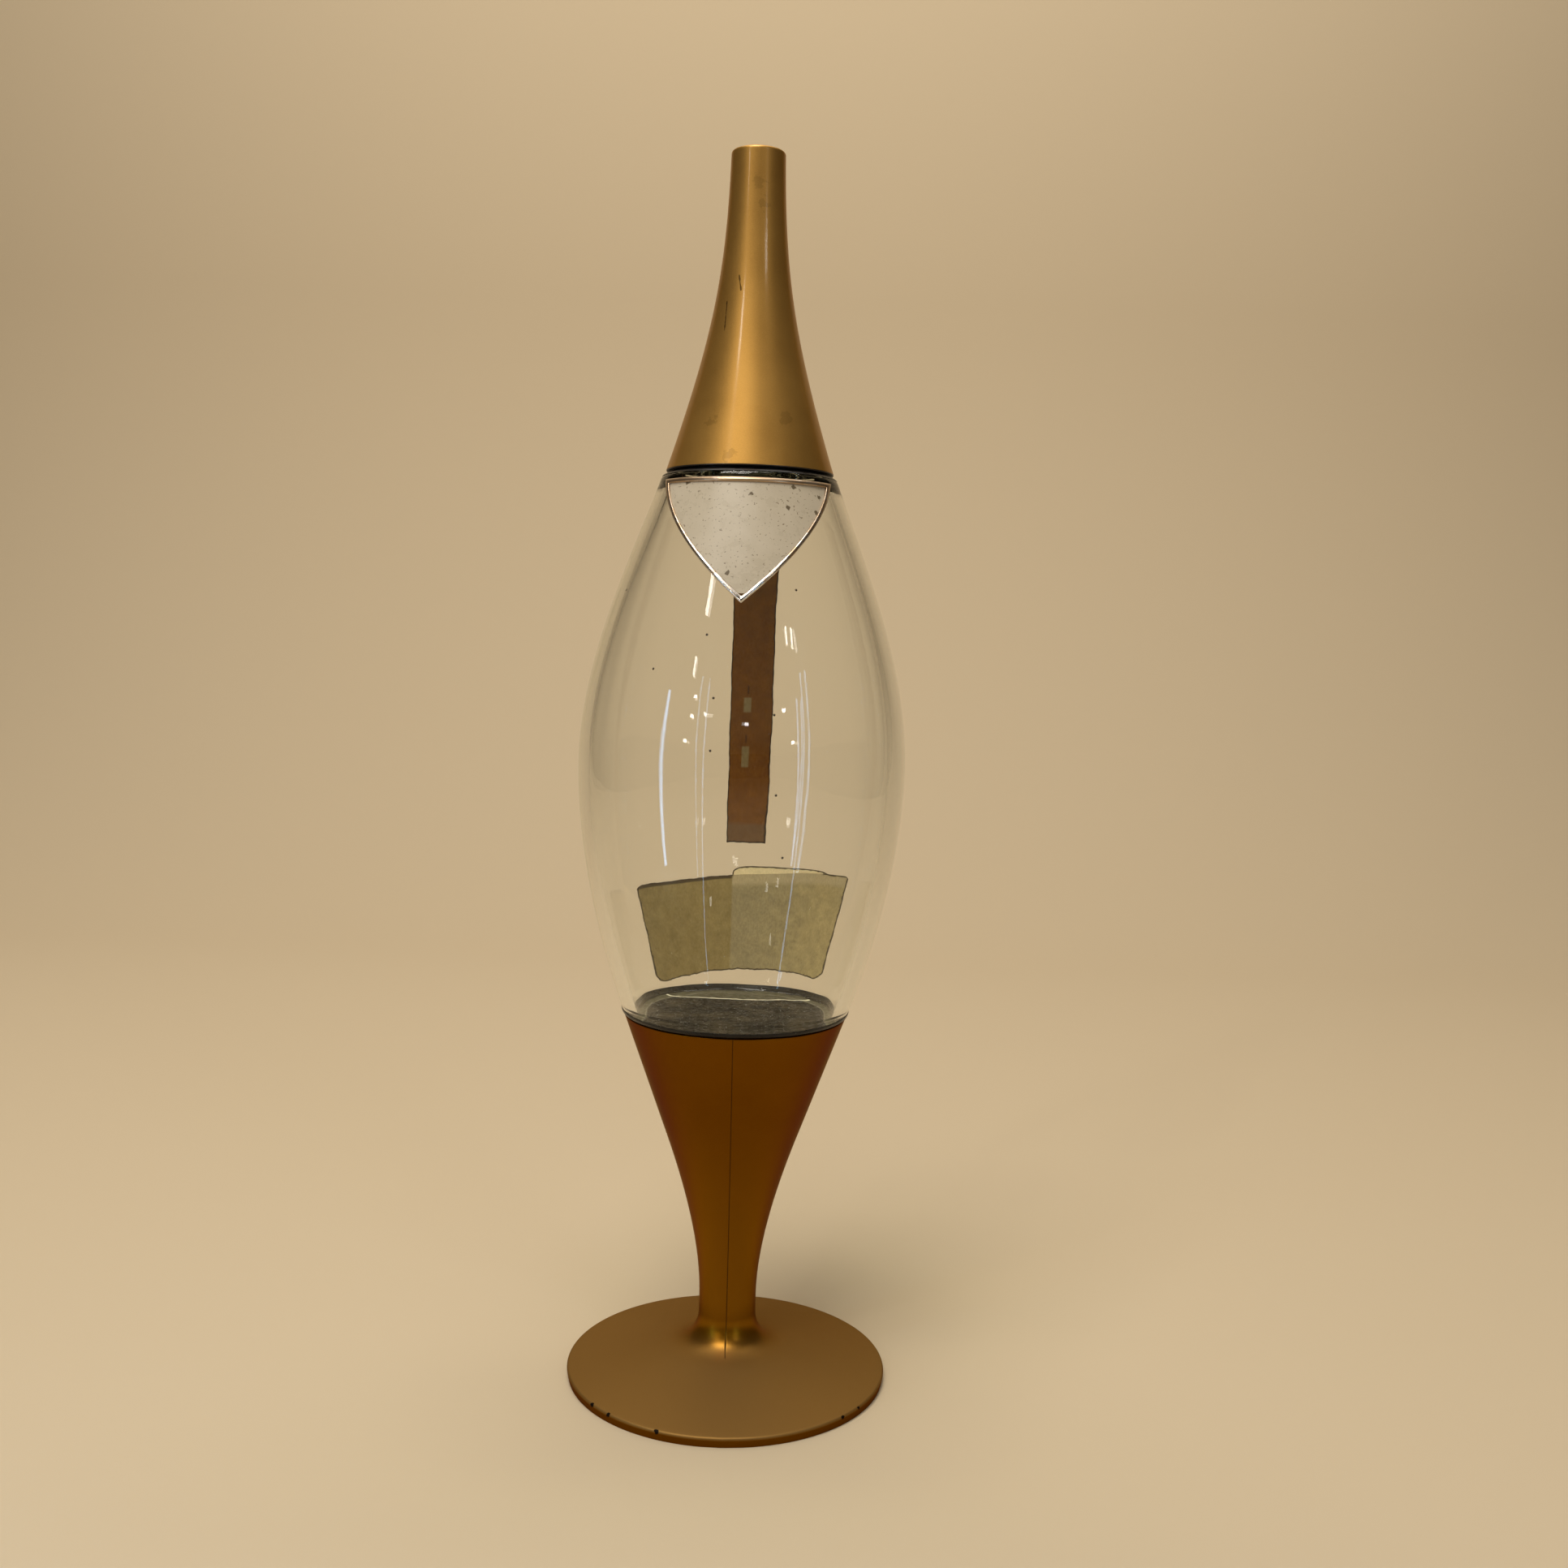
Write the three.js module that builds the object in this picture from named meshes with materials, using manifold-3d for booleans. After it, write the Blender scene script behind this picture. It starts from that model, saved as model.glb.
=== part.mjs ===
// A spindle-shaped spirit decanter. A clear glass body stands in a gilt trumpet pedestal
// and is closed by a gilt cone that carries the cork.
// Millimetres, +Z up, origin under the middle of the foot. The shield faces -Y.

import * as THREE from 'three';
import { mergeVertices } from 'three/addons/utils/BufferGeometryUtils.js';
import Module from 'manifold-3d';

const manifold = await Module();
manifold.setup();

// Pedestal, one hollow moulding.
const FOOT_BEYOND_BELLY = 0.1;
const FOOT_EDGE_HEIGHT = 3.0;
const FOOT_EDGE_ROUND = 0.9;
const FOOT_SLOPE = 0.215;
const FOOT_RING_WIDTH = 2.6;
const FOOT_SWEEP_RADIUS = 18;
const WAIST_RADIUS = 9.0;
const WAIST_LOW = 20;
const WAIST_HIGH = 25;
const FLARE_CONTROL_HEIGHT = 45.6;
const FLARE_END_HEIGHT = 78;
const FLARE_END_RADIUS = 20.8;
const PEDESTAL_HEIGHT = 116.4;
const MOUTH_RADIUS = 34.7;
const PEDESTAL_WALL = 2.2;
const WEB_HEIGHT = 40;
const WEB_THICKNESS = 4;
const CORE_DRAFT = 0.6;

// Clearances between pieces that touch on the real object.
const SEAT_GAP = 0.3;
const CORK_FIT = 0.3;
const NECK_CLEARANCE = 0.7;
const LIP_CLEARANCE = 0.8;

// Glass body.
const HEEL_ROUND = 1.4;
const HEEL_STEP = 0.15;
const HEEL_LEAN = 0.39;
const HEEL_PULL = 8.6;
const BELLY_HEIGHT = 77.2;
const BELLY_RADIUS = 50.3;
const BELLY_PULL_DOWN = 34;
const BELLY_PULL_UP = 32.3;
const SHOULDER_HEIGHT = 165.4;
const SHOULDER_RADIUS = 26.4;
const SHOULDER_LEAN = 0.355;
const SHOULDER_PULL = 23;
const SHOULDER_ROUND = 3;
const BODY_WALL = 3.6;
const FLOOR_HEIGHT = 2.2;
const FLOOR_ROUND = 5;
const CEILING_DEPTH = 3.6;
const CEILING_ROUND = 4;
const PLUG_DEPTH = 5;
const PLUG_TAPER = 0.38;
const PUNT_DEPTH = 1.2;
const PUNT_RIM = 5;

// Neck of the glass body.
const NECK_HEIGHT = 26.2;
const NECK_WALL = 3.0;
const NECK_ROOT = 3;
const LIP_HEIGHT = 6;
const LIP_PROUD = 0.7;
const LIP_ROUND = 1.2;
const BORE_RADIUS = 9.8;

// Shield moulded on the front of the glass, and the enamel inside its frame.
const SHIELD_HALF_WIDTH = 24.6;
const SHIELD_TOP = 2.6;
const SHIELD_LENGTH = 36.6;
const SHIELD_CHEEK = 23.5;
const SHIELD_CHEEK_DROP = 16.6;
const FRAME_WIDTH = 1.6;
const FRAME_PROUD = 0.8;
const ENAMEL_THICKNESS = 0.3;

// Paper on the back of the glass. Heights are above the heel, and left and right are distances from
// the middle, as seen from the front.
const PAPER_THICKNESS = 0.25;
const STRIP_LOW = 47.3;
const STRIP_HIGH = 146;
const STRIP_LEFT = 6.1;
const STRIP_RIGHT_LOW = 5.6;
const STRIP_RIGHT_HIGH = 11.0;
const LABEL_LEFT = 36.7;
const LABEL_RIGHT = 36.9;
const LABEL_FOOT_LEFT = 29.7;
const LABEL_FOOT_RIGHT = 30.0;
const LABEL_LEFT_LOW = 2.3;
const LABEL_RIGHT_LOW = 5.0;
const LABEL_LEFT_HIGH = 34.0;
const LABEL_RIGHT_HIGH = 39.4;
const LABEL_ARCH = 2.2;
const LABEL_CORNER = 3;
const SLIP_LOW = 6.5;
const SLIP_HIGH = 39.6;
const SLIP_LEFT = 3.6;
const SLIP_RIGHT = 35.2;
const SLIP_FOOT_RIGHT = 28.4;
const SLIP_CORNER = 7;

// Cone cap.
const CAP_RIM_GAP = 0.78;
const CAP_HEIGHT = 95.15;
const CAP_RIM_RADIUS = 25.6;
const CAP_RIM_LEAN = 0.328;
const CAP_RIM_PULL = 40.8;
const CAP_TIP_RADIUS = 8.15;
const CAP_TIP_LEAN = 0.02;
const CAP_TIP_PULL = 35.8;
const CAP_TIP_ROUND = 1.0;
const CAP_TIP_WALL = 2.4;
const CAP_WALL = 1.6;

// Black moulding inside the cap, and the cork on its peg.
const FLANGE_RADIUS = 22.7;
const FLANGE_THICKNESS = 3.2;
const SLEEVE_WALL = 1.2;
const PLATE_THICKNESS = 2.0;
const PEG_RADIUS = 3.0;
const PEG_LENGTH = 10;
const CORK_LENGTH = 24;
const CORK_TAPER = 0.5;
const CORK_CHAMFER = 0.8;

// Fineness of the round forms.
const SIDES = 48;
const CORK_SIDES = 32;
const CURVE_STEPS = 7;
const CONE_STEPS = 9;
const CORNER_STEPS = 4;
const SWEEP_STEPS = 5;
const ROUND_STEPS = 3;
const BEYOND = 5;

// The foot is as wide as the belly above it.
const footRadius = BELLY_RADIUS + FOOT_BEYOND_BELLY;

// Heights that follow from the sizes above.
const heelZ = PEDESTAL_HEIGHT + SEAT_GAP;
const bellyZ = heelZ + BELLY_HEIGHT;
const shoulderZ = heelZ + SHOULDER_HEIGHT;
const lipZ = shoulderZ + NECK_HEIGHT;
const neckRadius = BORE_RADIUS + NECK_WALL;
const rimZ = shoulderZ + CAP_RIM_GAP;
const tipZ = rimZ + CAP_HEIGHT;
const flangeZ = shoulderZ + SEAT_GAP;
const plateZ = lipZ + LIP_CLEARANCE;

// Outlines are lists of (radius, height) points.

function at(radius, height) {
  return new THREE.Vector2(radius, height);
}

function curve(start, control, end, steps = CURVE_STEPS) {
  return new THREE.QuadraticBezierCurve(start, control, end).getPoints(steps);
}

function sweep(start, first, second, end, steps = CURVE_STEPS) {
  return new THREE.CubicBezierCurve(start, first, second, end).getPoints(steps);
}

// A corner rounded off by radius, between the points before and after it.
function rounded(before, corner, after, radius, steps = ROUND_STEPS) {
  const back = before.clone().sub(corner).normalize();
  const ahead = after.clone().sub(corner).normalize();
  const halfAngle = Math.acos(THREE.MathUtils.clamp(back.dot(ahead), -1, 1)) / 2;
  const reach = radius / Math.tan(halfAngle);
  const start = corner.clone().addScaledVector(back, reach);
  const end = corner.clone().addScaledVector(ahead, reach);
  return curve(start, corner, end, steps);
}

// The same outline one wall thickness further in, for an outline that runs upwards.
function parallel(points, wall) {
  return points.map((point, i) => {
    const before = points[Math.max(i - 1, 0)];
    const after = points[Math.min(i + 1, points.length - 1)];
    const along = after.clone().sub(before).normalize();
    return at(point.x - along.y * wall, point.y + along.x * wall);
  });
}

// The radius of an outline at a height, for an outline that runs upwards.
function radiusAt(points, height) {
  const last = points.length - 1;
  let i = 1;
  while (i < last && points[i].y < height) i += 1;
  const share = (height - points[i - 1].y) / (points[i].y - points[i - 1].y);
  return points[i - 1].x + share * (points[i].x - points[i - 1].x);
}

// The stretch of a rising outline between two heights, with an exact point at each end.
function between(points, low, high) {
  const inside = points.filter((point) => point.y > low + 0.5 && point.y < high - 0.5);
  return [at(radiusAt(points, low), low), ...inside, at(radiusAt(points, high), high)];
}

// Solids.

function toSolid(geometry) {
  const bare = geometry.index ? geometry.toNonIndexed() : geometry.clone();
  bare.deleteAttribute('normal');
  bare.deleteAttribute('uv');
  const welded = mergeVertices(bare, 1e-4);
  return new manifold.Manifold(new manifold.Mesh({
    numProp: 3,
    vertProperties: new Float32Array(welded.attributes.position.array),
    triVerts: new Uint32Array(welded.index.array),
  }));
}

function toGeometry(solid) {
  const mesh = solid.getMesh();
  const geometry = new THREE.BufferGeometry();
  geometry.setAttribute('position', new THREE.BufferAttribute(mesh.vertProperties, 3));
  geometry.setIndex(new THREE.BufferAttribute(mesh.triVerts, 1));
  geometry.computeVertexNormals();
  return geometry;
}

// Turns an outline round the Z axis. The outline starts and ends on the axis.
function turned(outline, sides = SIDES) {
  const lathe = new THREE.LatheGeometry(outline, sides);
  lathe.rotateX(Math.PI / 2);
  return toSolid(lathe);
}

// A solid under a rising outline, closed to the axis by flat ends.
function plugOf(points, sides = SIDES) {
  const first = points[0];
  const last = points[points.length - 1];
  return turned([at(0, first.y), ...points, at(0, last.y)], sides);
}

// A shape drawn in (x, z), carried from the axis out through one side of the body.
function through(shape, side) {
  const depth = BELLY_RADIUS + BEYOND;
  const prism = new THREE.ExtrudeGeometry(shape, { depth, bevelEnabled: false, curveSegments: CURVE_STEPS });
  prism.rotateX(Math.PI / 2);
  if (side > 0) prism.translate(0, depth, 0);
  return toSolid(prism);
}

function piece(name, solid, colour, roughness, metalness) {
  const material = new THREE.MeshStandardMaterial({ color: colour, roughness, metalness });
  const mesh = new THREE.Mesh(toGeometry(solid), material);
  mesh.name = name;
  return mesh;
}

const paint = {
  gilt: [0xa9782f, 0.42, 0.75],
  glass: [0xdfe6dc, 0.05, 0],
  black: [0x15110e, 0.45, 0],
  enamel: [0xcfc9bb, 0.5, 0],
  cork: [0xb98d5c, 0.9, 0],
  brownPaper: [0x6b4a1c, 0.8, 0],
  olivePaper: [0x8a7a48, 0.8, 0],
};

// Pedestal: the stem flares from the waist to the mouth, and sweeps out into a coned foot.
function pedestalOutline() {
  const footTop = (radius) => FOOT_EDGE_HEIGHT + FOOT_SLOPE * (footRadius - radius);
  const waistLow = at(WAIST_RADIUS, WAIST_LOW);
  const sweepEnd = at(FOOT_SWEEP_RADIUS, footTop(FOOT_SWEEP_RADIUS));
  const edge = at(footRadius, FOOT_EDGE_HEIGHT);
  const foot = at(footRadius, 0);
  return {
    sole: [at(footRadius - FOOT_EDGE_ROUND / 2, 0), at(footRadius, FOOT_EDGE_ROUND / 2)],
    edge: rounded(foot, edge, sweepEnd, FOOT_EDGE_ROUND),
    top: curve(sweepEnd, at(WAIST_RADIUS, footTop(WAIST_RADIUS)), waistLow, SWEEP_STEPS),
    flare: [
      ...curve(
        at(WAIST_RADIUS, WAIST_HIGH),
        at(WAIST_RADIUS, FLARE_CONTROL_HEIGHT),
        at(FLARE_END_RADIUS, FLARE_END_HEIGHT),
      ),
      at(MOUTH_RADIUS, PEDESTAL_HEIGHT),
    ],
  };
}

function makePedestal() {
  const line = pedestalOutline();
  const outside = [at(0, 0), ...line.sole, ...line.edge, ...line.top, ...line.flare, at(0, PEDESTAL_HEIGHT)];
  const body = turned(outside);

  const funnelWall = parallel(line.flare, PEDESTAL_WALL);
  const funnelFloor = WEB_HEIGHT + WEB_THICKNESS;
  const mouthCorner = at(MOUTH_RADIUS, PEDESTAL_HEIGHT).sub(at(PEDESTAL_WALL, 0));
  const funnel = plugOf([
    ...between(funnelWall, funnelFloor, PEDESTAL_HEIGHT - BEYOND),
    mouthCorner,
    at(mouthCorner.x, PEDESTAL_HEIGHT + BEYOND),
  ]);

  const ringInside = footRadius - FOOT_RING_WIDTH;
  const footWall = (radius) => FOOT_EDGE_HEIGHT + FOOT_SLOPE * (footRadius - radius) - PEDESTAL_WALL;
  const coreRadius = WAIST_RADIUS - PEDESTAL_WALL;
  const sweepIn = at(FOOT_SWEEP_RADIUS, footWall(FOOT_SWEEP_RADIUS));
  const core = turned([
    at(0, -BEYOND),
    at(ringInside, -BEYOND),
    at(ringInside, footWall(ringInside)),
    ...curve(sweepIn, at(coreRadius, footWall(coreRadius)), at(coreRadius, WAIST_LOW), SWEEP_STEPS),
    at(coreRadius - CORE_DRAFT, WEB_HEIGHT),
    at(0, WEB_HEIGHT),
  ]);
  return body.subtract(funnel).subtract(core);
}

// Glass body: one rising outline from the heel to the shoulder.
function bodyOutline() {
  const heelRadius = MOUTH_RADIUS + HEEL_STEP;
  const belly = at(BELLY_RADIUS, bellyZ);
  const shoulder = at(SHOULDER_RADIUS, shoulderZ);
  const lower = sweep(
    at(heelRadius, heelZ),
    at(heelRadius + HEEL_LEAN * HEEL_PULL, heelZ + HEEL_PULL),
    at(BELLY_RADIUS, bellyZ - BELLY_PULL_DOWN),
    belly,
  );
  const upper = sweep(
    belly,
    at(BELLY_RADIUS, bellyZ + BELLY_PULL_UP),
    at(SHOULDER_RADIUS + SHOULDER_LEAN * SHOULDER_PULL, shoulderZ - SHOULDER_PULL),
    shoulder,
  );
  return [...lower, ...upper.slice(1)];
}

const body = bodyOutline();

// The body's skin pushed out by some distance, for what stands on the glass.
function skin(proud) {
  return plugOf(parallel(body, -proud));
}

function shieldCorners(inset) {
  const top = SHIELD_TOP + inset;
  const tipRise = inset * Math.hypot(SHIELD_CHEEK, SHIELD_LENGTH - SHIELD_CHEEK_DROP) / SHIELD_CHEEK;
  return {
    side: SHIELD_HALF_WIDTH - inset,
    top: shoulderZ - top,
    cheek: SHIELD_CHEEK - inset,
    cheekZ: shoulderZ - SHIELD_TOP - SHIELD_CHEEK_DROP + inset * 0.5,
    tip: shoulderZ - SHIELD_TOP - SHIELD_LENGTH + tipRise,
  };
}

// A shield with a straight top and two bowed sides that meet in a point.
function shieldShape(inset) {
  const c = shieldCorners(inset);
  const shape = new THREE.Shape();
  shape.moveTo(0, c.tip);
  shape.quadraticCurveTo(c.cheek, c.cheekZ, c.side, c.top);
  shape.lineTo(-c.side, c.top);
  shape.quadraticCurveTo(-c.cheek, c.cheekZ, 0, c.tip);
  return shape;
}

function makeBottle() {
  const heelRadius = body[0].x;
  const plugTop = MOUTH_RADIUS - PEDESTAL_WALL - SEAT_GAP;
  const plugZ = heelZ - PLUG_DEPTH;
  const plugLow = plugTop - PLUG_TAPER * PLUG_DEPTH;
  const heel = rounded(at(plugTop, heelZ), at(heelRadius, heelZ), body[1], HEEL_ROUND);
  const before = body[body.length - 2];
  const shoulder = rounded(before, at(SHOULDER_RADIUS, shoulderZ), at(neckRadius, shoulderZ), SHOULDER_ROUND);
  const lipRadius = neckRadius + LIP_PROUD;
  const outside = [
    at(0, plugZ + PUNT_DEPTH),
    at(plugLow - PUNT_RIM, plugZ),
    ...rounded(at(0, plugZ), at(plugLow, plugZ), at(plugTop, heelZ), HEEL_ROUND),
    at(plugTop, heelZ),
    ...heel,
    ...body.slice(1, -1),
    ...shoulder,
    ...rounded(at(SHOULDER_RADIUS, shoulderZ), at(neckRadius, shoulderZ), at(neckRadius, lipZ), NECK_ROOT),
    at(neckRadius, lipZ - LIP_HEIGHT - LIP_PROUD),
    at(lipRadius, lipZ - LIP_HEIGHT),
    ...rounded(at(lipRadius, lipZ - LIP_HEIGHT), at(lipRadius, lipZ), at(0, lipZ), LIP_ROUND),
    at(0, lipZ),
  ];

  const floorZ = heelZ + FLOOR_HEIGHT;
  const ceilingZ = shoulderZ - CEILING_DEPTH;
  const wall = between(parallel(body, BODY_WALL), floorZ, ceilingZ);
  const wallLow = wall[0];
  const wallHigh = wall[wall.length - 1];
  const inside = [
    at(0, floorZ),
    ...rounded(at(0, floorZ), wallLow, wall[2], FLOOR_ROUND, CORNER_STEPS),
    ...wall.slice(2, -2),
    ...rounded(wall[wall.length - 3], wallHigh, at(BORE_RADIUS, ceilingZ), CEILING_ROUND, CORNER_STEPS),
    ...rounded(wallHigh, at(BORE_RADIUS, ceilingZ), at(BORE_RADIUS, lipZ), NECK_ROOT),
    at(BORE_RADIUS, lipZ + BEYOND),
    at(0, lipZ + BEYOND),
  ];

  const band = through(shieldShape(0), -1).subtract(through(shieldShape(FRAME_WIDTH), -1));
  const frame = band.intersect(skin(FRAME_PROUD));
  return turned(outside).add(frame).subtract(turned(inside));
}

// A thin sheet that follows the glass, cut to a shape and lifted clear of it.
function sheet(shape, side, lift, thickness) {
  const shell = skin(lift + thickness).subtract(skin(lift));
  return shell.intersect(through(shape, side));
}

function makeEnamel() {
  return sheet(shieldShape(FRAME_WIDTH + SEAT_GAP), -1, SEAT_GAP, ENAMEL_THICKNESS);
}

function makeStrip() {
  const shape = new THREE.Shape([
    at(-STRIP_LEFT, heelZ + STRIP_LOW),
    at(STRIP_RIGHT_LOW, heelZ + STRIP_LOW),
    at(STRIP_RIGHT_HIGH, heelZ + STRIP_HIGH),
    at(-STRIP_LEFT, heelZ + STRIP_HIGH),
  ]);
  return sheet(shape, 1, SEAT_GAP, PAPER_THICKNESS);
}

// The label narrows towards its foot, which arches up between two rounded corners. It was stuck on
// with a slight tilt, so its right side is higher.
function makeLabel() {
  const leftLow = at(-LABEL_FOOT_LEFT, heelZ + LABEL_LEFT_LOW);
  const rightLow = at(LABEL_FOOT_RIGHT, heelZ + LABEL_RIGHT_LOW);
  const middle = leftLow.clone().add(rightLow).multiplyScalar(0.5).add(at(0, 2 * LABEL_ARCH));
  const shape = new THREE.Shape();
  shape.moveTo(-LABEL_LEFT, heelZ + LABEL_LEFT_HIGH);
  shape.lineTo(leftLow.x, leftLow.y + LABEL_CORNER);
  shape.quadraticCurveTo(leftLow.x, leftLow.y, leftLow.x + LABEL_CORNER, leftLow.y);
  shape.quadraticCurveTo(middle.x, middle.y, rightLow.x - LABEL_CORNER, rightLow.y);
  shape.quadraticCurveTo(rightLow.x, rightLow.y, rightLow.x, rightLow.y + LABEL_CORNER);
  shape.lineTo(LABEL_RIGHT, heelZ + LABEL_RIGHT_HIGH);
  return sheet(shape, 1, SEAT_GAP, PAPER_THICKNESS);
}

// A second, smaller slip with round corners over the right half of the label.
function makeSlip() {
  const low = heelZ + SLIP_LOW;
  const high = heelZ + SLIP_HIGH;
  const cornerLeft = SLIP_CORNER / 3;
  const shape = new THREE.Shape();
  shape.moveTo(-SLIP_LEFT, low);
  shape.lineTo(SLIP_FOOT_RIGHT - SLIP_CORNER, low);
  shape.quadraticCurveTo(SLIP_FOOT_RIGHT, low, SLIP_FOOT_RIGHT, low + SLIP_CORNER);
  shape.lineTo(SLIP_RIGHT, high - SLIP_CORNER);
  shape.quadraticCurveTo(SLIP_RIGHT, high, SLIP_RIGHT - SLIP_CORNER, high);
  shape.lineTo(-SLIP_LEFT + cornerLeft, high);
  shape.quadraticCurveTo(-SLIP_LEFT, high, -SLIP_LEFT, high - cornerLeft);
  return sheet(shape, 1, 2 * SEAT_GAP + PAPER_THICKNESS, PAPER_THICKNESS);
}

// Cap: a flared cone, closed at its slender tip.
function coneOutline() {
  return sweep(
    at(CAP_RIM_RADIUS, rimZ),
    at(CAP_RIM_RADIUS - CAP_RIM_LEAN * CAP_RIM_PULL, rimZ + CAP_RIM_PULL),
    at(CAP_TIP_RADIUS + CAP_TIP_LEAN * CAP_TIP_PULL, tipZ - CAP_TIP_PULL),
    at(CAP_TIP_RADIUS, tipZ),
    CONE_STEPS,
  );
}

const cone = coneOutline();

// The hollow of the cone, less a gap all round.
function coneHollow(gap) {
  const wall = parallel(cone, CAP_WALL + gap);
  const top = tipZ - CAP_TIP_WALL - gap;
  const low = rimZ - BEYOND;
  return plugOf([at(wall[0].x + CAP_RIM_LEAN * BEYOND, low), ...between(wall, wall[0].y, top)]);
}

function makeCone() {
  const before = cone[cone.length - 2];
  const tip = rounded(before, at(CAP_TIP_RADIUS, tipZ), at(0, tipZ), CAP_TIP_ROUND);
  const outside = turned([at(0, rimZ), ...cone.slice(0, -1), ...tip, at(0, tipZ)]);
  return outside.subtract(coneHollow(0));
}

// A flange that closes the cap's mouth and rests on the glass, a sleeve round the neck, a plate
// over the lip, and a peg for the cork. It is trimmed to the hollow of the cone.
function makeStopperBody() {
  const holeRadius = neckRadius + LIP_PROUD + NECK_CLEARANCE;
  const sleeveRadius = holeRadius + SLEEVE_WALL;
  const plateTop = plateZ + PLATE_THICKNESS;
  const pegZ = plateZ - PEG_LENGTH;
  const outside = turned([
    at(0, flangeZ),
    at(FLANGE_RADIUS, flangeZ),
    at(FLANGE_RADIUS, flangeZ + FLANGE_THICKNESS),
    at(sleeveRadius, flangeZ + FLANGE_THICKNESS),
    at(sleeveRadius, plateTop),
    at(0, plateTop),
  ]);
  const inside = turned([
    at(0, flangeZ - BEYOND),
    at(holeRadius + NECK_ROOT, flangeZ - BEYOND),
    at(holeRadius + NECK_ROOT, flangeZ),
    at(holeRadius, flangeZ + NECK_ROOT),
    at(holeRadius, plateZ),
    at(0, plateZ),
  ]);
  const peg = turned([
    at(0, pegZ),
    at(PEG_RADIUS, pegZ),
    at(PEG_RADIUS, plateZ + PLATE_THICKNESS / 2),
    at(0, plateZ + PLATE_THICKNESS / 2),
  ], CORK_SIDES);
  return outside.subtract(inside).add(peg).intersect(coneHollow(SEAT_GAP));
}

function makeCork() {
  const topZ = plateZ - SEAT_GAP;
  const lowZ = topZ - CORK_LENGTH;
  const topRadius = BORE_RADIUS - CORK_FIT;
  const lowRadius = topRadius - CORK_TAPER;
  const outside = turned([
    at(0, lowZ),
    at(lowRadius - CORK_CHAMFER, lowZ),
    at(lowRadius, lowZ + CORK_CHAMFER),
    at(topRadius, topZ - CORK_CHAMFER / 2),
    at(topRadius - CORK_CHAMFER / 2, topZ),
    at(0, topZ),
  ], CORK_SIDES);
  const hole = plugOf([
    at(PEG_RADIUS + CORK_FIT, plateZ - PEG_LENGTH - SEAT_GAP),
    at(PEG_RADIUS + CORK_FIT, topZ + BEYOND),
  ], CORK_SIDES);
  return outside.subtract(hole);
}

const pedestal = new THREE.Group();
pedestal.add(piece('pedestal', makePedestal(), ...paint.gilt));

const bottle = new THREE.Group();
bottle.add(piece('glass_bottle', makeBottle(), ...paint.glass));
bottle.add(piece('shield_enamel', makeEnamel(), ...paint.enamel));
bottle.add(piece('strip_label', makeStrip(), ...paint.brownPaper));
bottle.add(piece('back_label', makeLabel(), ...paint.olivePaper));
bottle.add(piece('over_label', makeSlip(), ...paint.olivePaper));

const cap = new THREE.Group();
cap.add(piece('cap_cone', makeCone(), ...paint.gilt));
cap.add(piece('stopper_body', makeStopperBody(), ...paint.black));
cap.add(piece('stopper_cork', makeCork(), ...paint.cork));

const decanter = new THREE.Group();
decanter.add(pedestal, bottle, cap);

export default decanter;
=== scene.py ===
# %% [markdown]
# A glass decanter on a gilt pedestal.
# The real one is a spindle of clear moulded glass. It stands in a trumpet of gold-painted plastic, and a
# gold-painted cone with a cork inside closes it.
# Nearly all of it is turned work: an outline swung round an axis. So this lesson draws outlines first,
# swings them into meshes, and then spends its time on the finishes.

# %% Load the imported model
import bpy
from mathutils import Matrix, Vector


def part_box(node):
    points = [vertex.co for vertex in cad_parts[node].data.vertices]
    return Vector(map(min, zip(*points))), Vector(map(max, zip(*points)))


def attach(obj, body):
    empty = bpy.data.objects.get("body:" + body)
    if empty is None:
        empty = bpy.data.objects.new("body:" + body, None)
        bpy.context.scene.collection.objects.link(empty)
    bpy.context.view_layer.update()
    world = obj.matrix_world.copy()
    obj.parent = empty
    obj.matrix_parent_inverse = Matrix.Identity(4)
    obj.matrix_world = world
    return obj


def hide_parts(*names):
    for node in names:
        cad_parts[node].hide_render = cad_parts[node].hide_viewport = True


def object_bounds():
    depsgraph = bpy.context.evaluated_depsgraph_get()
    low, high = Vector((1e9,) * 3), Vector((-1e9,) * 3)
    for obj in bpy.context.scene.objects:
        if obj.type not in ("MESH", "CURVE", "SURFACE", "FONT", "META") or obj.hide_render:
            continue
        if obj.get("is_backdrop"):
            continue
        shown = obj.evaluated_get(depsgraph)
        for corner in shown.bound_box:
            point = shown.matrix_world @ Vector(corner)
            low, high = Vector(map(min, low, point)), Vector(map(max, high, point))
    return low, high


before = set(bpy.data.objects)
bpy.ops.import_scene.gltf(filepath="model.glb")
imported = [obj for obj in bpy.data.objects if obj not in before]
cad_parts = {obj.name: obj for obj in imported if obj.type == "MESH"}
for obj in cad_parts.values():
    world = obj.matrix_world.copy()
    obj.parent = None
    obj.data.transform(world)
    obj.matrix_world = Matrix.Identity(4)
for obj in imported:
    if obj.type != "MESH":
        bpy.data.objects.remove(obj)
cad_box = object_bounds()

# %% [markdown]
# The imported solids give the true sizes. Each main size is read from them here, so the dressed decanter
# can't drift away from the one that was packed. Outlines are drawn in millimetres, because a maker
# measures a bottle that way, and they are turned into metres when a mesh is made.

# %% Tools and main sizes
import math

import bpy
import numpy as np
from mathutils import Matrix, Vector

MM = 0.001


def node_size(node):
    low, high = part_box(node)
    return (high.x - low.x) / 2 / MM, low.z / MM, high.z / MM


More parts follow.
